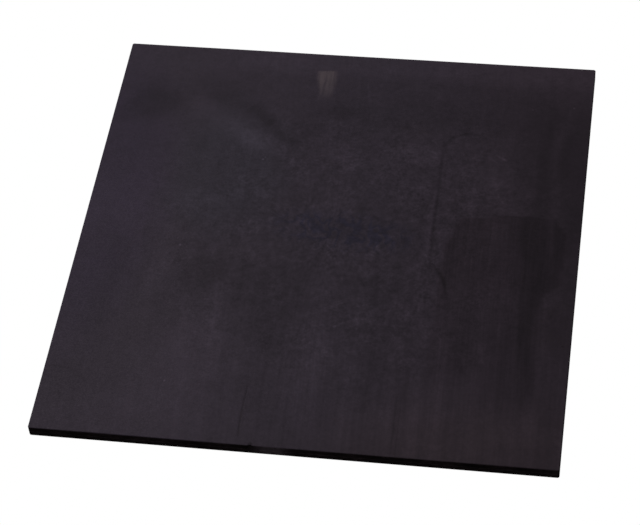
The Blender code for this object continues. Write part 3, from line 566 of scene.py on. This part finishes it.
def smear_mask(nodes, vector):
    """A wiped bluish smear of loose strokes across the middle."""
    oval = nodes.blot(vector, *SMEAR_PLACE, SMEAR_TURN, 0.45)
    swirl = warped(nodes, nodes.shift(vector, SMEAR_SHIFT), 24, 13)
    noise = nodes.noise(nodes.scale(swirl, (1, 0.8, 0)), 17, 1.0)
    away = nodes.math("ABSOLUTE", nodes.math("SUBTRACT", noise, 0.5))
    return nodes.math("MULTIPLY", oval, nodes.range(away, 0.085, 0.015, 0.22, 1.0))


def smooth_step(share):
    """A soft step from 0 to 1."""
    share = np.clip(share, 0.0, 1.0)
    return share * share * (3 - 2 * share)


def turned(x, y, angle):
    """The places in a frame turned by an angle."""
    return x * np.cos(angle) + y * np.sin(angle), y * np.cos(angle) - x * np.sin(angle)


def wandered(x, y):
    """The places pushed about by slow waves, so that the broad marks' outlines wander."""
    return (x + 3.6 * np.sin(y / 19 + 0.7) + 2.4 * np.sin(x / 13 - y / 29),
            y + 3.6 * np.sin(x / 23 + 1.9) + 2.4 * np.sin(y / 15 + x / 31))


def soft_tone(x, y):
    """How much lighter or darker, round 0, the broad soft marks make each place of the face."""
    x, y = wandered(x, y)
    tone = np.ones_like(x)
    for centre, half_size, turn, core, gain in AREAS + PATCH_CORES:
        along, across = turned(x - centre[0], y - centre[1], math.radians(turn))
        reach = np.hypot(along / half_size[0], across / half_size[1])
        tone *= 1 + gain * smooth_step((1 - reach) / (1 - core))
    for start, end, half_width, gain in BANDS:
        run = (end[0] - start[0], end[1] - start[1])
        middle = ((start[0] + end[0]) / 2, (start[1] + end[1]) / 2)
        along, across = turned(x - middle[0], y - middle[1], math.atan2(run[1], run[0]))
        ends = smooth_step((1 - np.abs(along) / (math.hypot(*run) / 2)) / 0.25)
        tone *= 1 + gain * ends * smooth_step(1 - np.abs(across) / half_width)
    return tone - 1.0


def store_tone(mesh):
    """The broad soft marks as a layer of the mesh, which the material reads.

    There are too many of them for nodes: Cycles renders a material black when it gets that big.
    """
    places = np.empty(3 * len(mesh.vertices))
    mesh.vertices.foreach_get("co", places)
    x, y, _ = places.reshape(-1, 3).T / MM
    layer = mesh.attributes.new(TONE_LAYER, "FLOAT", "POINT")
    layer.data.foreach_set("value", soft_tone(x, y))


def painted_far_reflection_mask(nodes, flat):
    """A painted reflection: the paler band along the far edge, which fades out to the left."""
    x, y, _ = nodes.split(flat)
    band = nodes.range(y, 222.0, 246.0)
    return nodes.math("MULTIPLY", band, nodes.range(x, -220.0, -60.0, 0.0, FAR_REFLECTION_GAIN))


def rubber_tone(nodes, flat, close, patch):
    """How light the face is at each place, round 1."""
    stored = nodes.node("ShaderNodeAttribute", {}, attribute_name=TONE_LAYER).outputs["Fac"]
    tone = nodes.math("ADD", stored, 1.0)
    tone = times(nodes, tone, patch, PATCH_GAIN)
    tone = soft_blocks(nodes, tone, warped(nodes, flat, 20, 4))
    # the paler band along the far edge is a painted reflection
    tone = times(nodes, tone, painted_far_reflection_mask(nodes, flat), 1.0)
    tone = streaks(nodes, tone, flat, patch)
    tone = grain(nodes, tone, flat, patch)
    tone = straight_marks(nodes, tone, close)
    return specks(nodes, tone, flat)


def face_tint(nodes, flat, patch):
    """The face's tint: bluer on the left, greyer in the bloom, redder in the patch and in front."""
    x, _, _ = nodes.split(flat)
    tint = nodes.colour(nodes.range(x, 20.0, 260.0), FACE, FACE_RIGHT)
    tint = nodes.colour(nodes.blot(flat, *BLOOM_PLACE, 0.0, 0.3), tint, FACE_BLOOM)
    tint = nodes.colour(nodes.blot(flat, *LEFT_PLACE, 0.0, 0.45), tint, FACE_LEFT)
    tint = nodes.colour(nodes.blot(flat, *WARM_PLACE, 0.0, 0.2), tint, FACE_WARM)
    return nodes.colour(patch, tint, FACE_PATCH)


def rubber_colour(nodes, flat, close, tone, patch):
    """The face's colour: its tint, made lighter or darker by its tone, with the smear and the scuff on it."""
    tint = face_tint(nodes, warped(nodes, flat, 50, 14), patch)
    grey = nodes.node("ShaderNodeCombineColor", {0: tone, 1: tone, 2: tone}).outputs[0]
    colour = nodes.colour(1.0, tint, grey, "MULTIPLY")
    smeared = nodes.colour(1.0, colour, SMEAR, "MULTIPLY")
    colour = nodes.colour(smear_mask(nodes, flat), colour, smeared)
    return nodes.colour(scuff_mask(nodes, close), colour, SCUFF)


def shaded_dusty_edge_colour(nodes):
    """The edges' colour: rubber painted darker than the face as shade, with a little dust along the sheet and
    one rubbed place in front.
    """
    dust = nodes.noise(nodes.scale(nodes.place, (1, 1, 2.5)), 26, 3.0, 0.6)
    rubs = nodes.noise(nodes.place, 3.5, 3.0, 0.65)
    share = nodes.math("MULTIPLY", nodes.range(dust, 0.30, 0.70), nodes.range(rubs, 0.30, 0.70, 0.2, 1.0))
    colour = nodes.colour(share, EDGE_SHADE, EDGE_DUSTY)
    rubbed = nodes.blot(unfolded(nodes), *RUB_PLACE, 0.0, 0.1)
    rubbed = nodes.math("MULTIPLY", rubbed, nodes.range(rubs, 0.2, 0.6, 0.4, 1.0))
    return nodes.colour(rubbed, colour, EDGE_RUBBED)


def rubber_finish(nodes, colour, bump):
    """The parts of the shader that the face, the edges and the underside share."""
    nodes.feed(nodes.shader.inputs["Base Color"], colour)
    fine = nodes.noise(nodes.place, 1.6, 3.0, 0.6)
    nodes.feed(nodes.shader.inputs["Roughness"], nodes.range(fine, 0.3, 0.7, 0.52, 0.66))
    nodes.feed(nodes.shader.inputs["Normal"], nodes.bump(fine, bump, 0.05))
    nodes.shader.inputs["Specular IOR Level"].default_value = 0.12
    nodes.shader.inputs["Specular Tint"].default_value = (1.0, 0.84, 1.0, 1.0)
    return nodes.material


def face_shader(name):
    """Black rubber, dusty with bloom on its face; its rounded edges and sides are painted darker, as shade.
    """
    nodes = Nodes(name)
    flat = unfolded(nodes)
    close = warped(nodes, flat, 12, 1.2)
    patch = patch_mask(nodes, warped(nodes, flat, 16, 3))
    tone = rubber_tone(nodes, flat, close, patch)
    colour = rubber_colour(nodes, flat, close, tone, patch)
    height = nodes.split(nodes.place)[2]
    # over the rounded edge the face gives way to the edges' colour, which is painted darker as shade
    face = nodes.range(height, *(TOP - depth for depth in EDGE_BLEND))
    return rubber_finish(nodes, nodes.colour(face, shaded_dusty_edge_colour(nodes), colour), 0.25)


def under_shader(name):
    """The same rubber on the underside, where bench dust greys it in patches and rubs lie along the mat."""
    nodes = Nodes(name)
    flat = unfolded(nodes)
    clouds = nodes.noise(flat, 70, 4.0, 0.6)
    rubs = nodes.noise(nodes.scale(flat, (1, 0.08, 0)), 5.0, 3.0, 0.6)
    grit = nodes.noise(flat, 2.2, 3.0, 0.6)
    share = nodes.range(clouds, 0.30, 0.72, 0.10, 0.80)
    for noise, gain in ((rubs, 0.9), (grit, 1.1)):
        share = nodes.math("MULTIPLY", share, nodes.math("MULTIPLY_ADD", noise, gain, 1.0 - gain / 2))
    under = nodes.colour(share, UNDER_DARK, UNDER_PALE)
    # the sides take the edges' colour, which is painted darker as shade
    below = nodes.range(nodes.split(nodes.place)[2], *EDGE_BLEND)
    return rubber_finish(nodes, nodes.colour(below, shaded_dusty_edge_colour(nodes), under), 0.5)


# ---------------------------------------------------------------- tray meshes

EDGE_RADIUS = 0.9
CORNER_RADIUS = 2.0
LEAST_RADIUS = 0.3
GRID_STEP = 4.0
NEAR_EDGE, NEAR_EDGE_STEP = 2.4, 0.4
STRETCH = 3.0  # width of the outer zone in which the sheet is stretched to its outline
PAIR = 0.02  # half the spacing of the two grid lines that make an upright wall
PAIR_CLEAR = 0.15
SHARP_ANGLE = math.radians(40)

SKIN = 2.4  # rubber over the cavity
GROOVE_SKIN = 4.9  # rubber over the rim's groove
RIM = 16.0
GROOVE_NEAR, GROOVE_FAR = 6.0, 10.0
CAVITY_X, CAVITY_Y = HALF_WIDTH - RIM, HALF_DEPTH - RIM
SEAM = TOP / 2
SEAM_GAP = 0.02
SEAM_CHAMFER = 0.3

INLET_LOW, INLET_HIGH = (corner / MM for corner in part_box("inlet_shell"))
INLET_MID = (INLET_LOW.x + INLET_HIGH.x) / 2
NOTCH_GAP = 0.3
NOTCH = (INLET_LOW.x - NOTCH_GAP, INLET_HIGH.x + NOTCH_GAP)
GROOVE_END = 13.7  # from the inlet's middle to where the rim's groove ends

CREASE = ((104.5, 118), (105.5, 60), (105.5, 20), (107, -20), (111, -28), (118, -34), (124, -44), (127, -60))
CREASE_DEPTH, CREASE_WIDTH = 0.16, 1.7
LIP_HEIGHT, LIP_PLACE, LIP_WIDTH = 0.04, 3.6, 1.6
CRACK = ((-51, -197), (-52, -225), (-51, -252))
CRACK_DEPTH, CRACK_WIDTH = 0.14, 0.9
SWELL_DROP = 0.15  # keeps the waves of the top face about its nominal level
NICK_PLACE, NICK_DEPTH, NICK_WIDTH = -38, 1.5, 1.6

# closer grid lines at the crack, the nick and the crease, and paired ones at upright walls
COLUMN_BANDS = ((-56.0, -48.0, 0.6), (-41.0, -35.0, 0.5), (102.0, 130.0, 0.7))
ROW_BANDS = ((-62.0, -16.0, 1.0),)
RIM_INSETS = (GROOVE_NEAR, GROOVE_FAR, RIM)
COLUMN_BREAKS = (*(sign * (HALF_WIDTH - inset) for sign in (-1, 1) for inset in RIM_INSETS),
                 *NOTCH, INLET_MID - GROOVE_END, INLET_MID + GROOVE_END)
ROW_BREAKS = (*(sign * (HALF_DEPTH - inset) for sign in (-1, 1) for inset in RIM_INSETS), CAVITY_Y - 1)


def grid_lines(half, bands, breaks):
    """Grid lines from -half to half: evenly spaced, closer in bands, and in pairs at breaks."""
    lines = list(np.linspace(-half, half, 2 * round(half / GRID_STEP) + 1))
    ends = ((-half, -half + NEAR_EDGE, NEAR_EDGE_STEP), (half - NEAR_EDGE, half, NEAR_EDGE_STEP))
    for low, high, step in (*ends, *bands):
        lines = [line for line in lines if not low - step < line < high + step]
        lines += list(np.linspace(low, high, round((high - low) / step) + 1))
    for place in breaks:
        lines = [line for line in lines if abs(line - place) > PAIR_CLEAR]
        lines += [place - PAIR, place + PAIR]
    return np.array(sorted(lines))


def stretched(value, half, new_half):
    """Coordinates moved so that the outer line goes from half to new_half, near the edge only."""
    start = half - STRETCH
    far = np.maximum(np.abs(value) - start, 0.0)
    return np.sign(value) * (np.minimum(np.abs(value), start) + far * (new_half - start) / STRETCH)


def rounded(x, y, half_x, half_y, radius):
    """Points of a square-cornered sheet moved so that its corners are round."""
    dx = np.maximum(np.abs(x) - (half_x - radius), 0.0)
    dy = np.maximum(np.abs(y) - (half_y - radius), 0.0)
    reach = np.hypot(dx, dy)
    shrink = np.where(reach > 1e-9, np.maximum(dx, dy) / np.maximum(reach, 1e-9), 1.0)
    new_x = np.where(dx > 0, np.sign(x) * (half_x - radius + dx * np.where(dy > 0, shrink, 1.0)), x)
    new_y = np.where(dy > 0, np.sign(y) * (half_y - radius + dy * np.where(dx > 0, shrink, 1.0)), y)
    return new_x, new_y


def line_distance(x, y, points):
    """Distance from each place to a chain of points."""
    best = np.full(np.shape(x), 1e9)
    for (ax, ay), (bx, by) in zip(points, points[1:]):
        ux, uy = bx - ax, by - ay
        t = np.clip(((x - ax) * ux + (y - ay) * uy) / (ux * ux + uy * uy), 0, 1)
        best = np.minimum(best, np.hypot(x - ax - t * ux, y - ay - t * uy))
    return best


def bell(distance, width):
    """1 at no distance, falling off softly."""
    return np.exp(-(distance / width) ** 2)


def swell(x, y):
    """The slow waves of a rubber sheet that doesn't lie quite flat."""
    return (0.10 * np.sin(x / 61 + 1.0) * np.cos(y / 83 + 0.4) + 0.07 * np.sin(x / 29 - y / 37)
            + 0.04 * np.cos(y / 17 + x / 90))


def top_relief(x, y):
    """Height of the top face over its nominal level: the waves, the crease with its lips, and the crack."""
    crease = line_distance(x, y, CREASE)
    crack = line_distance(x, y, CRACK)
    lips = LIP_HEIGHT * bell(crease - LIP_PLACE, LIP_WIDTH)
    height = swell(x, y) - SWELL_DROP
    height -= CREASE_DEPTH * bell(crease, CREASE_WIDTH) - lips
    return height - CRACK_DEPTH * bell(crack, CRACK_WIDTH)


def under_relief(x, y):
    """Height of the underside, which is nearly flat because the mat lies on it."""
    return 0.03 * (1 + np.sin(x / 23) * np.sin(y / 19))


def nick(x, y):
    """How far the front edge is dented where it was knocked."""
    return NICK_DEPTH * bell(x - NICK_PLACE, NICK_WIDTH) * (y < 0)


def inside_height(x, y, seam, roof, groove, notch):
    """The inner face of a tray: its rim, the groove in it, the cavity and the inlet's notch."""
    inset = np.minimum(HALF_WIDTH - np.abs(x), HALF_DEPTH - np.abs(y))
    height = np.full(np.shape(x), seam)
    near_inlet = (np.abs(x - INLET_MID) < GROOVE_END) & (y > 0)
    height = np.where((inset > GROOVE_NEAR) & (inset < GROOVE_FAR) & ~near_inlet, groove, height)
    height = np.where((np.abs(x) < CAVITY_X) & (np.abs(y) < CAVITY_Y), roof, height)
    in_notch = (x > NOTCH[0]) & (x < NOTCH[1]) & (y > CAVITY_Y - 1)
    return np.where(in_notch, notch, height)


def boundary(index):
    """The outer points of a grid of indices, anticlockwise."""
    return np.concatenate([index[0, :-1], index[:-1, -1], index[-1, :0:-1], index[:0:-1, 0]])


def outline(x, y, inset):
    """Points of the sheet moved so that its round-cornered outline lies at an inset."""
    half_x, half_y = HALF_WIDTH - inset, HALF_DEPTH - inset
    x = stretched(x, HALF_WIDTH - EDGE_RADIUS, half_x)
    y = stretched(y, HALF_DEPTH - EDGE_RADIUS, half_y)
    return rounded(x, y, half_x, half_y, max(CORNER_RADIUS - inset, LEAST_RADIUS))


def edge_rings(x0, y0, side, relief, inner_levels):
    """Rings of points over a tray's rounded edge and along its wall to the seam."""
    dent = 1.0 if side > 0 else 0.0  # only the top tray is dented
    outer = TOP if side > 0 else 0.0
    wall = outer - side * EDGE_RADIUS
    seam = inside_height(*outline(x0, y0, 0.0), *inner_levels)
    rings = []
    for step in range(1, 7):
        turn = math.radians(15 * step)
        x, y = outline(x0, y0, EDGE_RADIUS * (1 - math.sin(turn)))
        z = outer - side * EDGE_RADIUS * (1 - math.cos(turn)) + relief(x, y) * math.cos(turn)
        rings.append(np.stack([x, y + nick(x, y) * dent, z], 1))
    for share in (0.2, 0.4, 0.6, 0.8, 0.94, 1.0):
        x, y = outline(x0, y0, SEAM_CHAMFER if share == 1.0 else 0.0)
        fade = (1 - share) * dent
        rings.append(np.stack([x, y + nick(x, y) * fade, wall + (seam - wall) * share], 1))
    return rings


def tray_faces(index, loop, layers):
    """The faces of a tray: its outer skin, the strips between its rings, and its inner skin."""
    starts = np.cumsum([0] + [len(layer) for layer in layers])
    chains = [loop] + [np.arange(len(loop)) + start for start in starts[1:-2]] + [loop + starts[-2]]
    skin = np.stack([index[:-1, :-1], index[:-1, 1:], index[1:, 1:], index[1:, :-1]], -1).reshape(-1, 4)
    faces = [skin]
    for upper, lower in zip(chains, chains[1:]):
        faces.append(np.stack([upper, lower, np.roll(lower, -1), np.roll(upper, -1)], 1))
    faces.append(skin[:, ::-1] + starts[-2])
    return np.concatenate(faces)


def smooth_mesh(name, points, faces):
    """A mesh from points and four-sided faces, smooth but for its sharp edges."""
    mesh = bpy.data.meshes.new(name)
    mesh.from_pydata((points * MM).tolist(), [], faces.tolist())
    mesh.shade_smooth()
    mesh.set_sharp_from_angle(angle=SHARP_ANGLE)
    return mesh


def tray(name, side, relief, inner_levels):
    """One rubber tray as a closed mesh. side is 1 for the top tray and -1 for the bottom one."""
    columns = grid_lines(HALF_WIDTH - EDGE_RADIUS, COLUMN_BANDS, COLUMN_BREAKS)
    rows = grid_lines(HALF_DEPTH - EDGE_RADIUS, ROW_BANDS, ROW_BREAKS)
    x0, y0 = (axis.ravel() for axis in np.meshgrid(columns, rows))
    index = np.arange(len(x0)).reshape(len(rows), len(columns))
    loop = boundary(index)
    x, y = outline(x0, y0, EDGE_RADIUS)
    layers = [np.stack([x, y, (TOP if side > 0 else 0.0) + relief(x, y)], 1)]
    layers += edge_rings(x0[loop], y0[loop], side, relief, inner_levels)
    x, y = outline(x0, y0, SEAM_CHAMFER)
    layers.append(np.stack([x, y, inside_height(x, y, *inner_levels)], 1))
    faces = tray_faces(index, loop, layers)
    return smooth_mesh(name, np.concatenate(layers), faces if side > 0 else faces[:, ::-1])


def add_piece(name, mesh, material, node):
    """A new piece that stands for a CAD node."""
    mesh.materials.append(material)
    piece = bpy.data.objects.new(name, mesh)
    bpy.context.scene.collection.objects.link(piece)
    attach(piece, "mat")
    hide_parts(node)
    return piece


def add_trays():
    """The two rubber trays."""
    top_levels = (SEAM + SEAM_GAP, TOP - SKIN, TOP - GROOVE_SKIN, INLET_HIGH.z + NOTCH_GAP)
    low_levels = (SEAM - SEAM_GAP, SKIN, GROOVE_SKIN, INLET_LOW.z - NOTCH_GAP)
    top = tray("rubber_top_tray", 1, top_relief, top_levels)
    store_tone(top)
    add_piece("rubber_top_tray", top, face_shader("rubber_top_finish"), "top_cover")
    low = tray("rubber_bottom_tray", -1, under_relief, low_levels)
    finish = under_shader("rubber_bottom_finish")
    add_piece("rubber_bottom_tray", low, finish, "bottom_cover")


# ---------------------------------------------------------------- soft layers

BOX_GAP, BOX_DEPTH = 0.3, 40.0
BOX_FRONT = HALF_DEPTH - RIM - BOX_GAP - BOX_DEPTH  # front wall of the terminal box
WINDOW_X, WINDOW_FRONT = 44.0, BOX_FRONT - 2.2
CUTOUT_X, CUTOUT_FRONT = 6.0, 175.5
WINDOW_SIDES = (INLET_MID - WINDOW_X, INLET_MID + WINDOW_X, INLET_MID - CUTOUT_X, INLET_MID + CUTOUT_X)
LAYER_STEP = 5.0
OUTER_RUN = 228.0
RUN_PITCH = 2 * OUTER_RUN / 23  # spacing of the heating wire's 24 runs
TAPES = range(1, 6)


def in_window(x, y, with_cutout):
    """Whether a place is in the window that the layers leave round the terminal box and the cutout."""
    across = np.abs(x - INLET_MID)
    window = (across < WINDOW_X) & (y > WINDOW_FRONT)
    return window | (with_cutout & (across < CUTOUT_X) & (y > CUTOUT_FRONT))


def even_lines(low, high, step, through=()):
    """Evenly spaced grid lines, with some more where an outline needs them."""
    lines = np.linspace(low, high, max(1, round((high - low) / step)) + 1)
    lines = [line for line in lines if all(abs(line - place) > step / 3 for place in through)]
    return np.array(sorted([*lines, *through]))


def layer_lines(low, high):
    """Grid lines of a layer that fills the cavity, with some more at its windows."""
    columns = even_lines(low.x, high.x, LAYER_STEP, WINDOW_SIDES)
    return columns, even_lines(low.y, high.y, LAYER_STEP, (WINDOW_FRONT, CUTOUT_FRONT))


def slab(name, columns, rows, keep, low, high):
    """A closed sheet over the grid cells that are kept, between two height functions of x and y."""
    x, y = (axis.ravel() for axis in np.meshgrid(columns, rows))
    count = len(x)
    points = np.concatenate([np.stack([x, y, low(x, y)], 1), np.stack([x, y, high(x, y)], 1)])
    index = np.arange(count).reshape(len(rows), len(columns))
    corners = (index[:-1, :-1], index[:-1, 1:], index[1:, 1:], index[1:, :-1])
    kept = keep(*np.meshgrid((columns[:-1] + columns[1:]) / 2, (rows[:-1] + rows[1:]) / 2))
    cells = np.stack([corner[kept] for corner in corners], 1)
    padded = np.pad(kept, 1)
    faces = [cells[:, ::-1], cells + count]
    beyond = (padded[:-2, 1:-1], padded[1:-1, 2:], padded[2:, 1:-1], padded[1:-1, :-2])
    for side, neighbour in enumerate(beyond):
        open_side = kept & ~neighbour
        start, end = corners[side][open_side], corners[(side + 1) % 4][open_side]
        faces.append(np.stack([start, end, end + count, start + count], 1))
    used, renumbered = np.unique(np.concatenate(faces), return_inverse=True)
    return smooth_mesh(name, points[used], renumbered.reshape(-1, 4))


def flat_box(node):
    """A CAD node's lowest and highest corner in millimetres."""
    low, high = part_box(node)
    return low / MM, high / MM


def add_felt():
    """The needled felt, lumpy on top, with its pocket under the cutout."""
    low, high = flat_box("insulation_felt")

    def top(x, y):
        lumps = np.sin(x / 3.1 + np.sin(y / 7.3)) * np.sin(y / 3.7 + np.cos(x / 9.1))
        pocket = (np.abs(x - INLET_MID) <= CUTOUT_X) & (y >= CUTOUT_FRONT)
        return high.z - 0.15 + 0.12 * lumps - 0.6 * pocket

    def under(x, y):
        return low.z + 0.06 * (1 + np.sin(x / 4.3) * np.sin(y / 5.1))

    mesh = slab("felt_pad", *layer_lines(low, high), lambda x, y: ~in_window(x, y, False), under, top)
    felt = add_piece("felt_pad", mesh, needled_shader("felt_finish"), "insulation_felt")


def add_scrim():
    """The woven glass sheet that the heating wire is laid on."""
    low, high = flat_box("wire_scrim")

    def wave(x, y):
        return 0.04 * np.sin(x / RUN_PITCH * 2 * math.pi) + 0.03 * np.sin(y / 21)

    mesh = slab("scrim_sheet", *layer_lines(low, high), lambda x, y: ~in_window(x, y, True),
                lambda x, y: low.z + 0.07 + wave(x, y), lambda x, y: high.z - 0.07 + wave(x, y))
    finish = woven_shader("glass_scrim_finish", "glass_scrim", 1.6)
    scrim = add_piece("scrim_sheet", mesh, finish, "wire_scrim")


def add_tape(number, finish):
    """One woven tape, which rises a little over each run of the wire."""
    node = f"scrim_tape_{number}"
    low, high = flat_box(node)

    def wave(x):
        return 0.06 * np.cos((x - OUTER_RUN) / RUN_PITCH * 2 * math.pi)

    columns, rows = even_lines(low.x, high.x, 2.5), even_lines(low.y, high.y, 3.0)
    mesh = slab(f"tape_{number}", columns, rows, lambda x, y: np.full(x.shape, True),
                lambda x, y: low.z + wave(x), lambda x, y: high.z + wave(x))
    tape = add_piece(f"tape_{number}", mesh, finish, node)


def add_tapes():
    """The woven tapes, which share one finish."""
    finish = woven_shader("scrim_tape_finish", "scrim_tape", 0.9)
    for number in TAPES:
        add_tape(number, finish)


# ---------------------------------------------------------------- finishes of the CAD nodes

CAD_MATERIALS = {
    place.material.name: place.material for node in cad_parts.values() for place in node.material_slots
}

# finish of each slot that keeps its CAD shape: grain size, relief, stretch of the grain
GRAINS = {
    "butyl_bead": (1.6, 0.10, (1, 1, 1)),
    "silicone_wire": (0.6, 0.02, (1, 1, 1)),
    "box_base_plastic": (0.35, 0.02, (1, 1, 1)),
    "box_lid_plastic": (0.35, 0.02, (1, 1, 1)),
    "zinc_screw": (0.25, 0.01, (1, 1, 0.1)),
    "inlet_plastic": (0.30, 0.02, (1, 1, 1)),
    "gasket_rubber": (0.50, 0.03, (1, 1, 1)),
    "nickel_pin": (0.20, 0.005, (1, 0.08, 1)),
    "tinned_brass": (0.30, 0.01, (1, 0.08, 1)),
    "heat_shrink": (0.50, 0.03, (0.3, 1, 1)),
    "lead_brown": (0.40, 0.01, (1, 1, 1)),
    "lead_black": (0.40, 0.01, (1, 1, 1)),
    "lead_blue": (0.40, 0.01, (1, 1, 1)),
    "steel_can": (0.40, 0.01, (1, 0.08, 1)),
    "phenolic": (0.60, 0.02, (1, 1, 1)),
    "epoxy": (0.90, 0.03, (1, 1, 1)),
    "contact_brass": (0.25, 0.005, (1, 0.08, 1)),
    "bimetal": (0.25, 0.005, (1, 0.08, 1)),
}
FOILS = ("aluminium_foil", "spreader_foil")


def cad_finish(slot):
    """Colour, roughness and metallic of a packed material."""
    shader = CAD_MATERIALS[slot].node_tree.nodes["Principled BSDF"]
    colour = tuple(shader.inputs["Base Color"].default_value)[:3]
    return colour, shader.inputs["Roughness"].default_value, shader.inputs["Metallic"].default_value


def varied(nodes, colour, amount):
    """The colour, darker and lighter by a share where amount goes from 0 to 1."""
    dark = tuple(part * 0.72 for part in colour)
    light = tuple(min(part * 1.22 + 0.004, 1.0) for part in colour)
    return nodes.colour(amount, dark, light)


def finished(nodes, colour, roughness, bump, metallic):
    """The material, once its shader's sockets are fed."""
    nodes.feed(nodes.shader.inputs["Base Color"], colour)
    nodes.feed(nodes.shader.inputs["Roughness"], roughness)
    nodes.feed(nodes.shader.inputs["Normal"], bump)
    nodes.shader.inputs["Metallic"].default_value = metallic
    return nodes.material


def grained_shader(name, slot, size, relief, stretch=(1, 1, 1)):
    """A moulded, drawn or rolled finish: its grain may be stretched along the piece."""
    colour, roughness, metallic = cad_finish(slot)
    nodes = Nodes(name)
    fine = nodes.noise(nodes.scale(nodes.place, stretch), size, 3.0, 0.6)
    cloud = nodes.noise(nodes.place, size * 9)
    amount = nodes.range(nodes.math("ADD", fine, cloud), 0.7, 1.3)
    rough = nodes.range(fine, 0.3, 0.7, roughness * 0.85, min(roughness * 1.2, 1.0))
    return finished(nodes, varied(nodes, colour, amount), rough, nodes.bump(fine, 0.5, relief), metallic)


def foil_shader(name, slot):
    """Rolled foil with soft creases."""
    colour, roughness, metallic = cad_finish(slot)
    nodes = Nodes(name)
    crumple = nodes.cells(14.0, feature="DISTANCE_TO_EDGE")
    rolled = nodes.noise(nodes.scale(nodes.place, (1, 0.04, 1)), 1.2)
    rough = nodes.range(rolled, 0.3, 0.7, roughness * 0.8, roughness * 1.3)
    bump = nodes.bump(nodes.range(crumple, 0.0, 0.12), 0.3, 0.2)
    return finished(nodes, varied(nodes, colour, nodes.range(rolled, 0.3, 0.7)), rough, bump, metallic)


def woven_shader(name, slot, pitch):
    """Plain weave: two sets of yarns, each over and under the other."""
    colour, roughness, metallic = cad_finish(slot)
    nodes = Nodes(name)
    x, y, _ = nodes.split(nodes.scale(nodes.place, (math.pi / pitch,) * 3))
    wave_x, wave_y = nodes.math("SINE", x), nodes.math("SINE", y)
    which = nodes.range(nodes.math("MULTIPLY", wave_x, wave_y), -0.1, 0.1)
    warp = nodes.math("MULTIPLY", nodes.math("ABSOLUTE", wave_x), which)
    weft = nodes.math("MULTIPLY", nodes.math("ABSOLUTE", wave_y), nodes.math("SUBTRACT", 1.0, which))
    height = nodes.math("ADD", warp, weft)
    fuzz = nodes.noise(nodes.place, pitch / 4)
    amount = nodes.math("MULTIPLY", height, nodes.range(fuzz, 0.2, 0.8, 0.7, 1.0))
    rough = nodes.range(height, 0.0, 1.0, min(roughness * 1.2, 1.0), roughness)
    return finished(nodes, varied(nodes, colour, amount), rough, nodes.bump(height, 0.8, 0.12), metallic)


def needled_shader(name):
    """Needled glass felt: short fibres that lie every way, and the needle's rows."""
    colour, roughness, metallic = cad_finish("felt")
    nodes = Nodes(name)
    one = nodes.noise(nodes.scale(nodes.place, (1, 0.15, 1)), 0.7, 3.0, 0.6, 1.5)
    two = nodes.noise(nodes.scale(nodes.place, (0.15, 1, 1)), 0.7, 3.0, 0.6, 1.5)
    fibres = nodes.math("MAXIMUM", one, two)
    dimple = nodes.range(nodes.cells(4.0), 0.0, 0.35)
    amount = nodes.math("MULTIPLY", nodes.range(fibres, 0.4, 0.75), nodes.range(dimple, 0.0, 1.0, 0.5, 1.0))
    rough = nodes.range(fibres, 0.3, 0.8, roughness, 1.0)
    bump = nodes.bump(nodes.math("MULTIPLY", fibres, dimple), 0.8, 0.3)
    return finished(nodes, varied(nodes, colour, amount), rough, bump, metallic)


def finish_cad_nodes():
    """Every CAD node that keeps its shape gets its finish."""
    finishes = {slot: grained_shader(slot + "_finish", slot, *how) for slot, how in GRAINS.items()}
    finishes.update({slot: foil_shader(slot + "_finish", slot) for slot in FOILS})
    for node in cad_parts.values():
        for place in node.material_slots:
            slot = place.material.name
            if slot in finishes:
                place.material = finishes[slot]


# ---------------------------------------------------------------- put together

bpy.context.scene.view_settings.view_transform = "Standard"
add_camera()
add_sweep()
add_sky()
add_lamp("key_lamp", 235, 50, 1.1, 0.7, 6.0)
add_trays()
add_felt()
add_scrim()
add_tapes()
finish_cad_nodes()
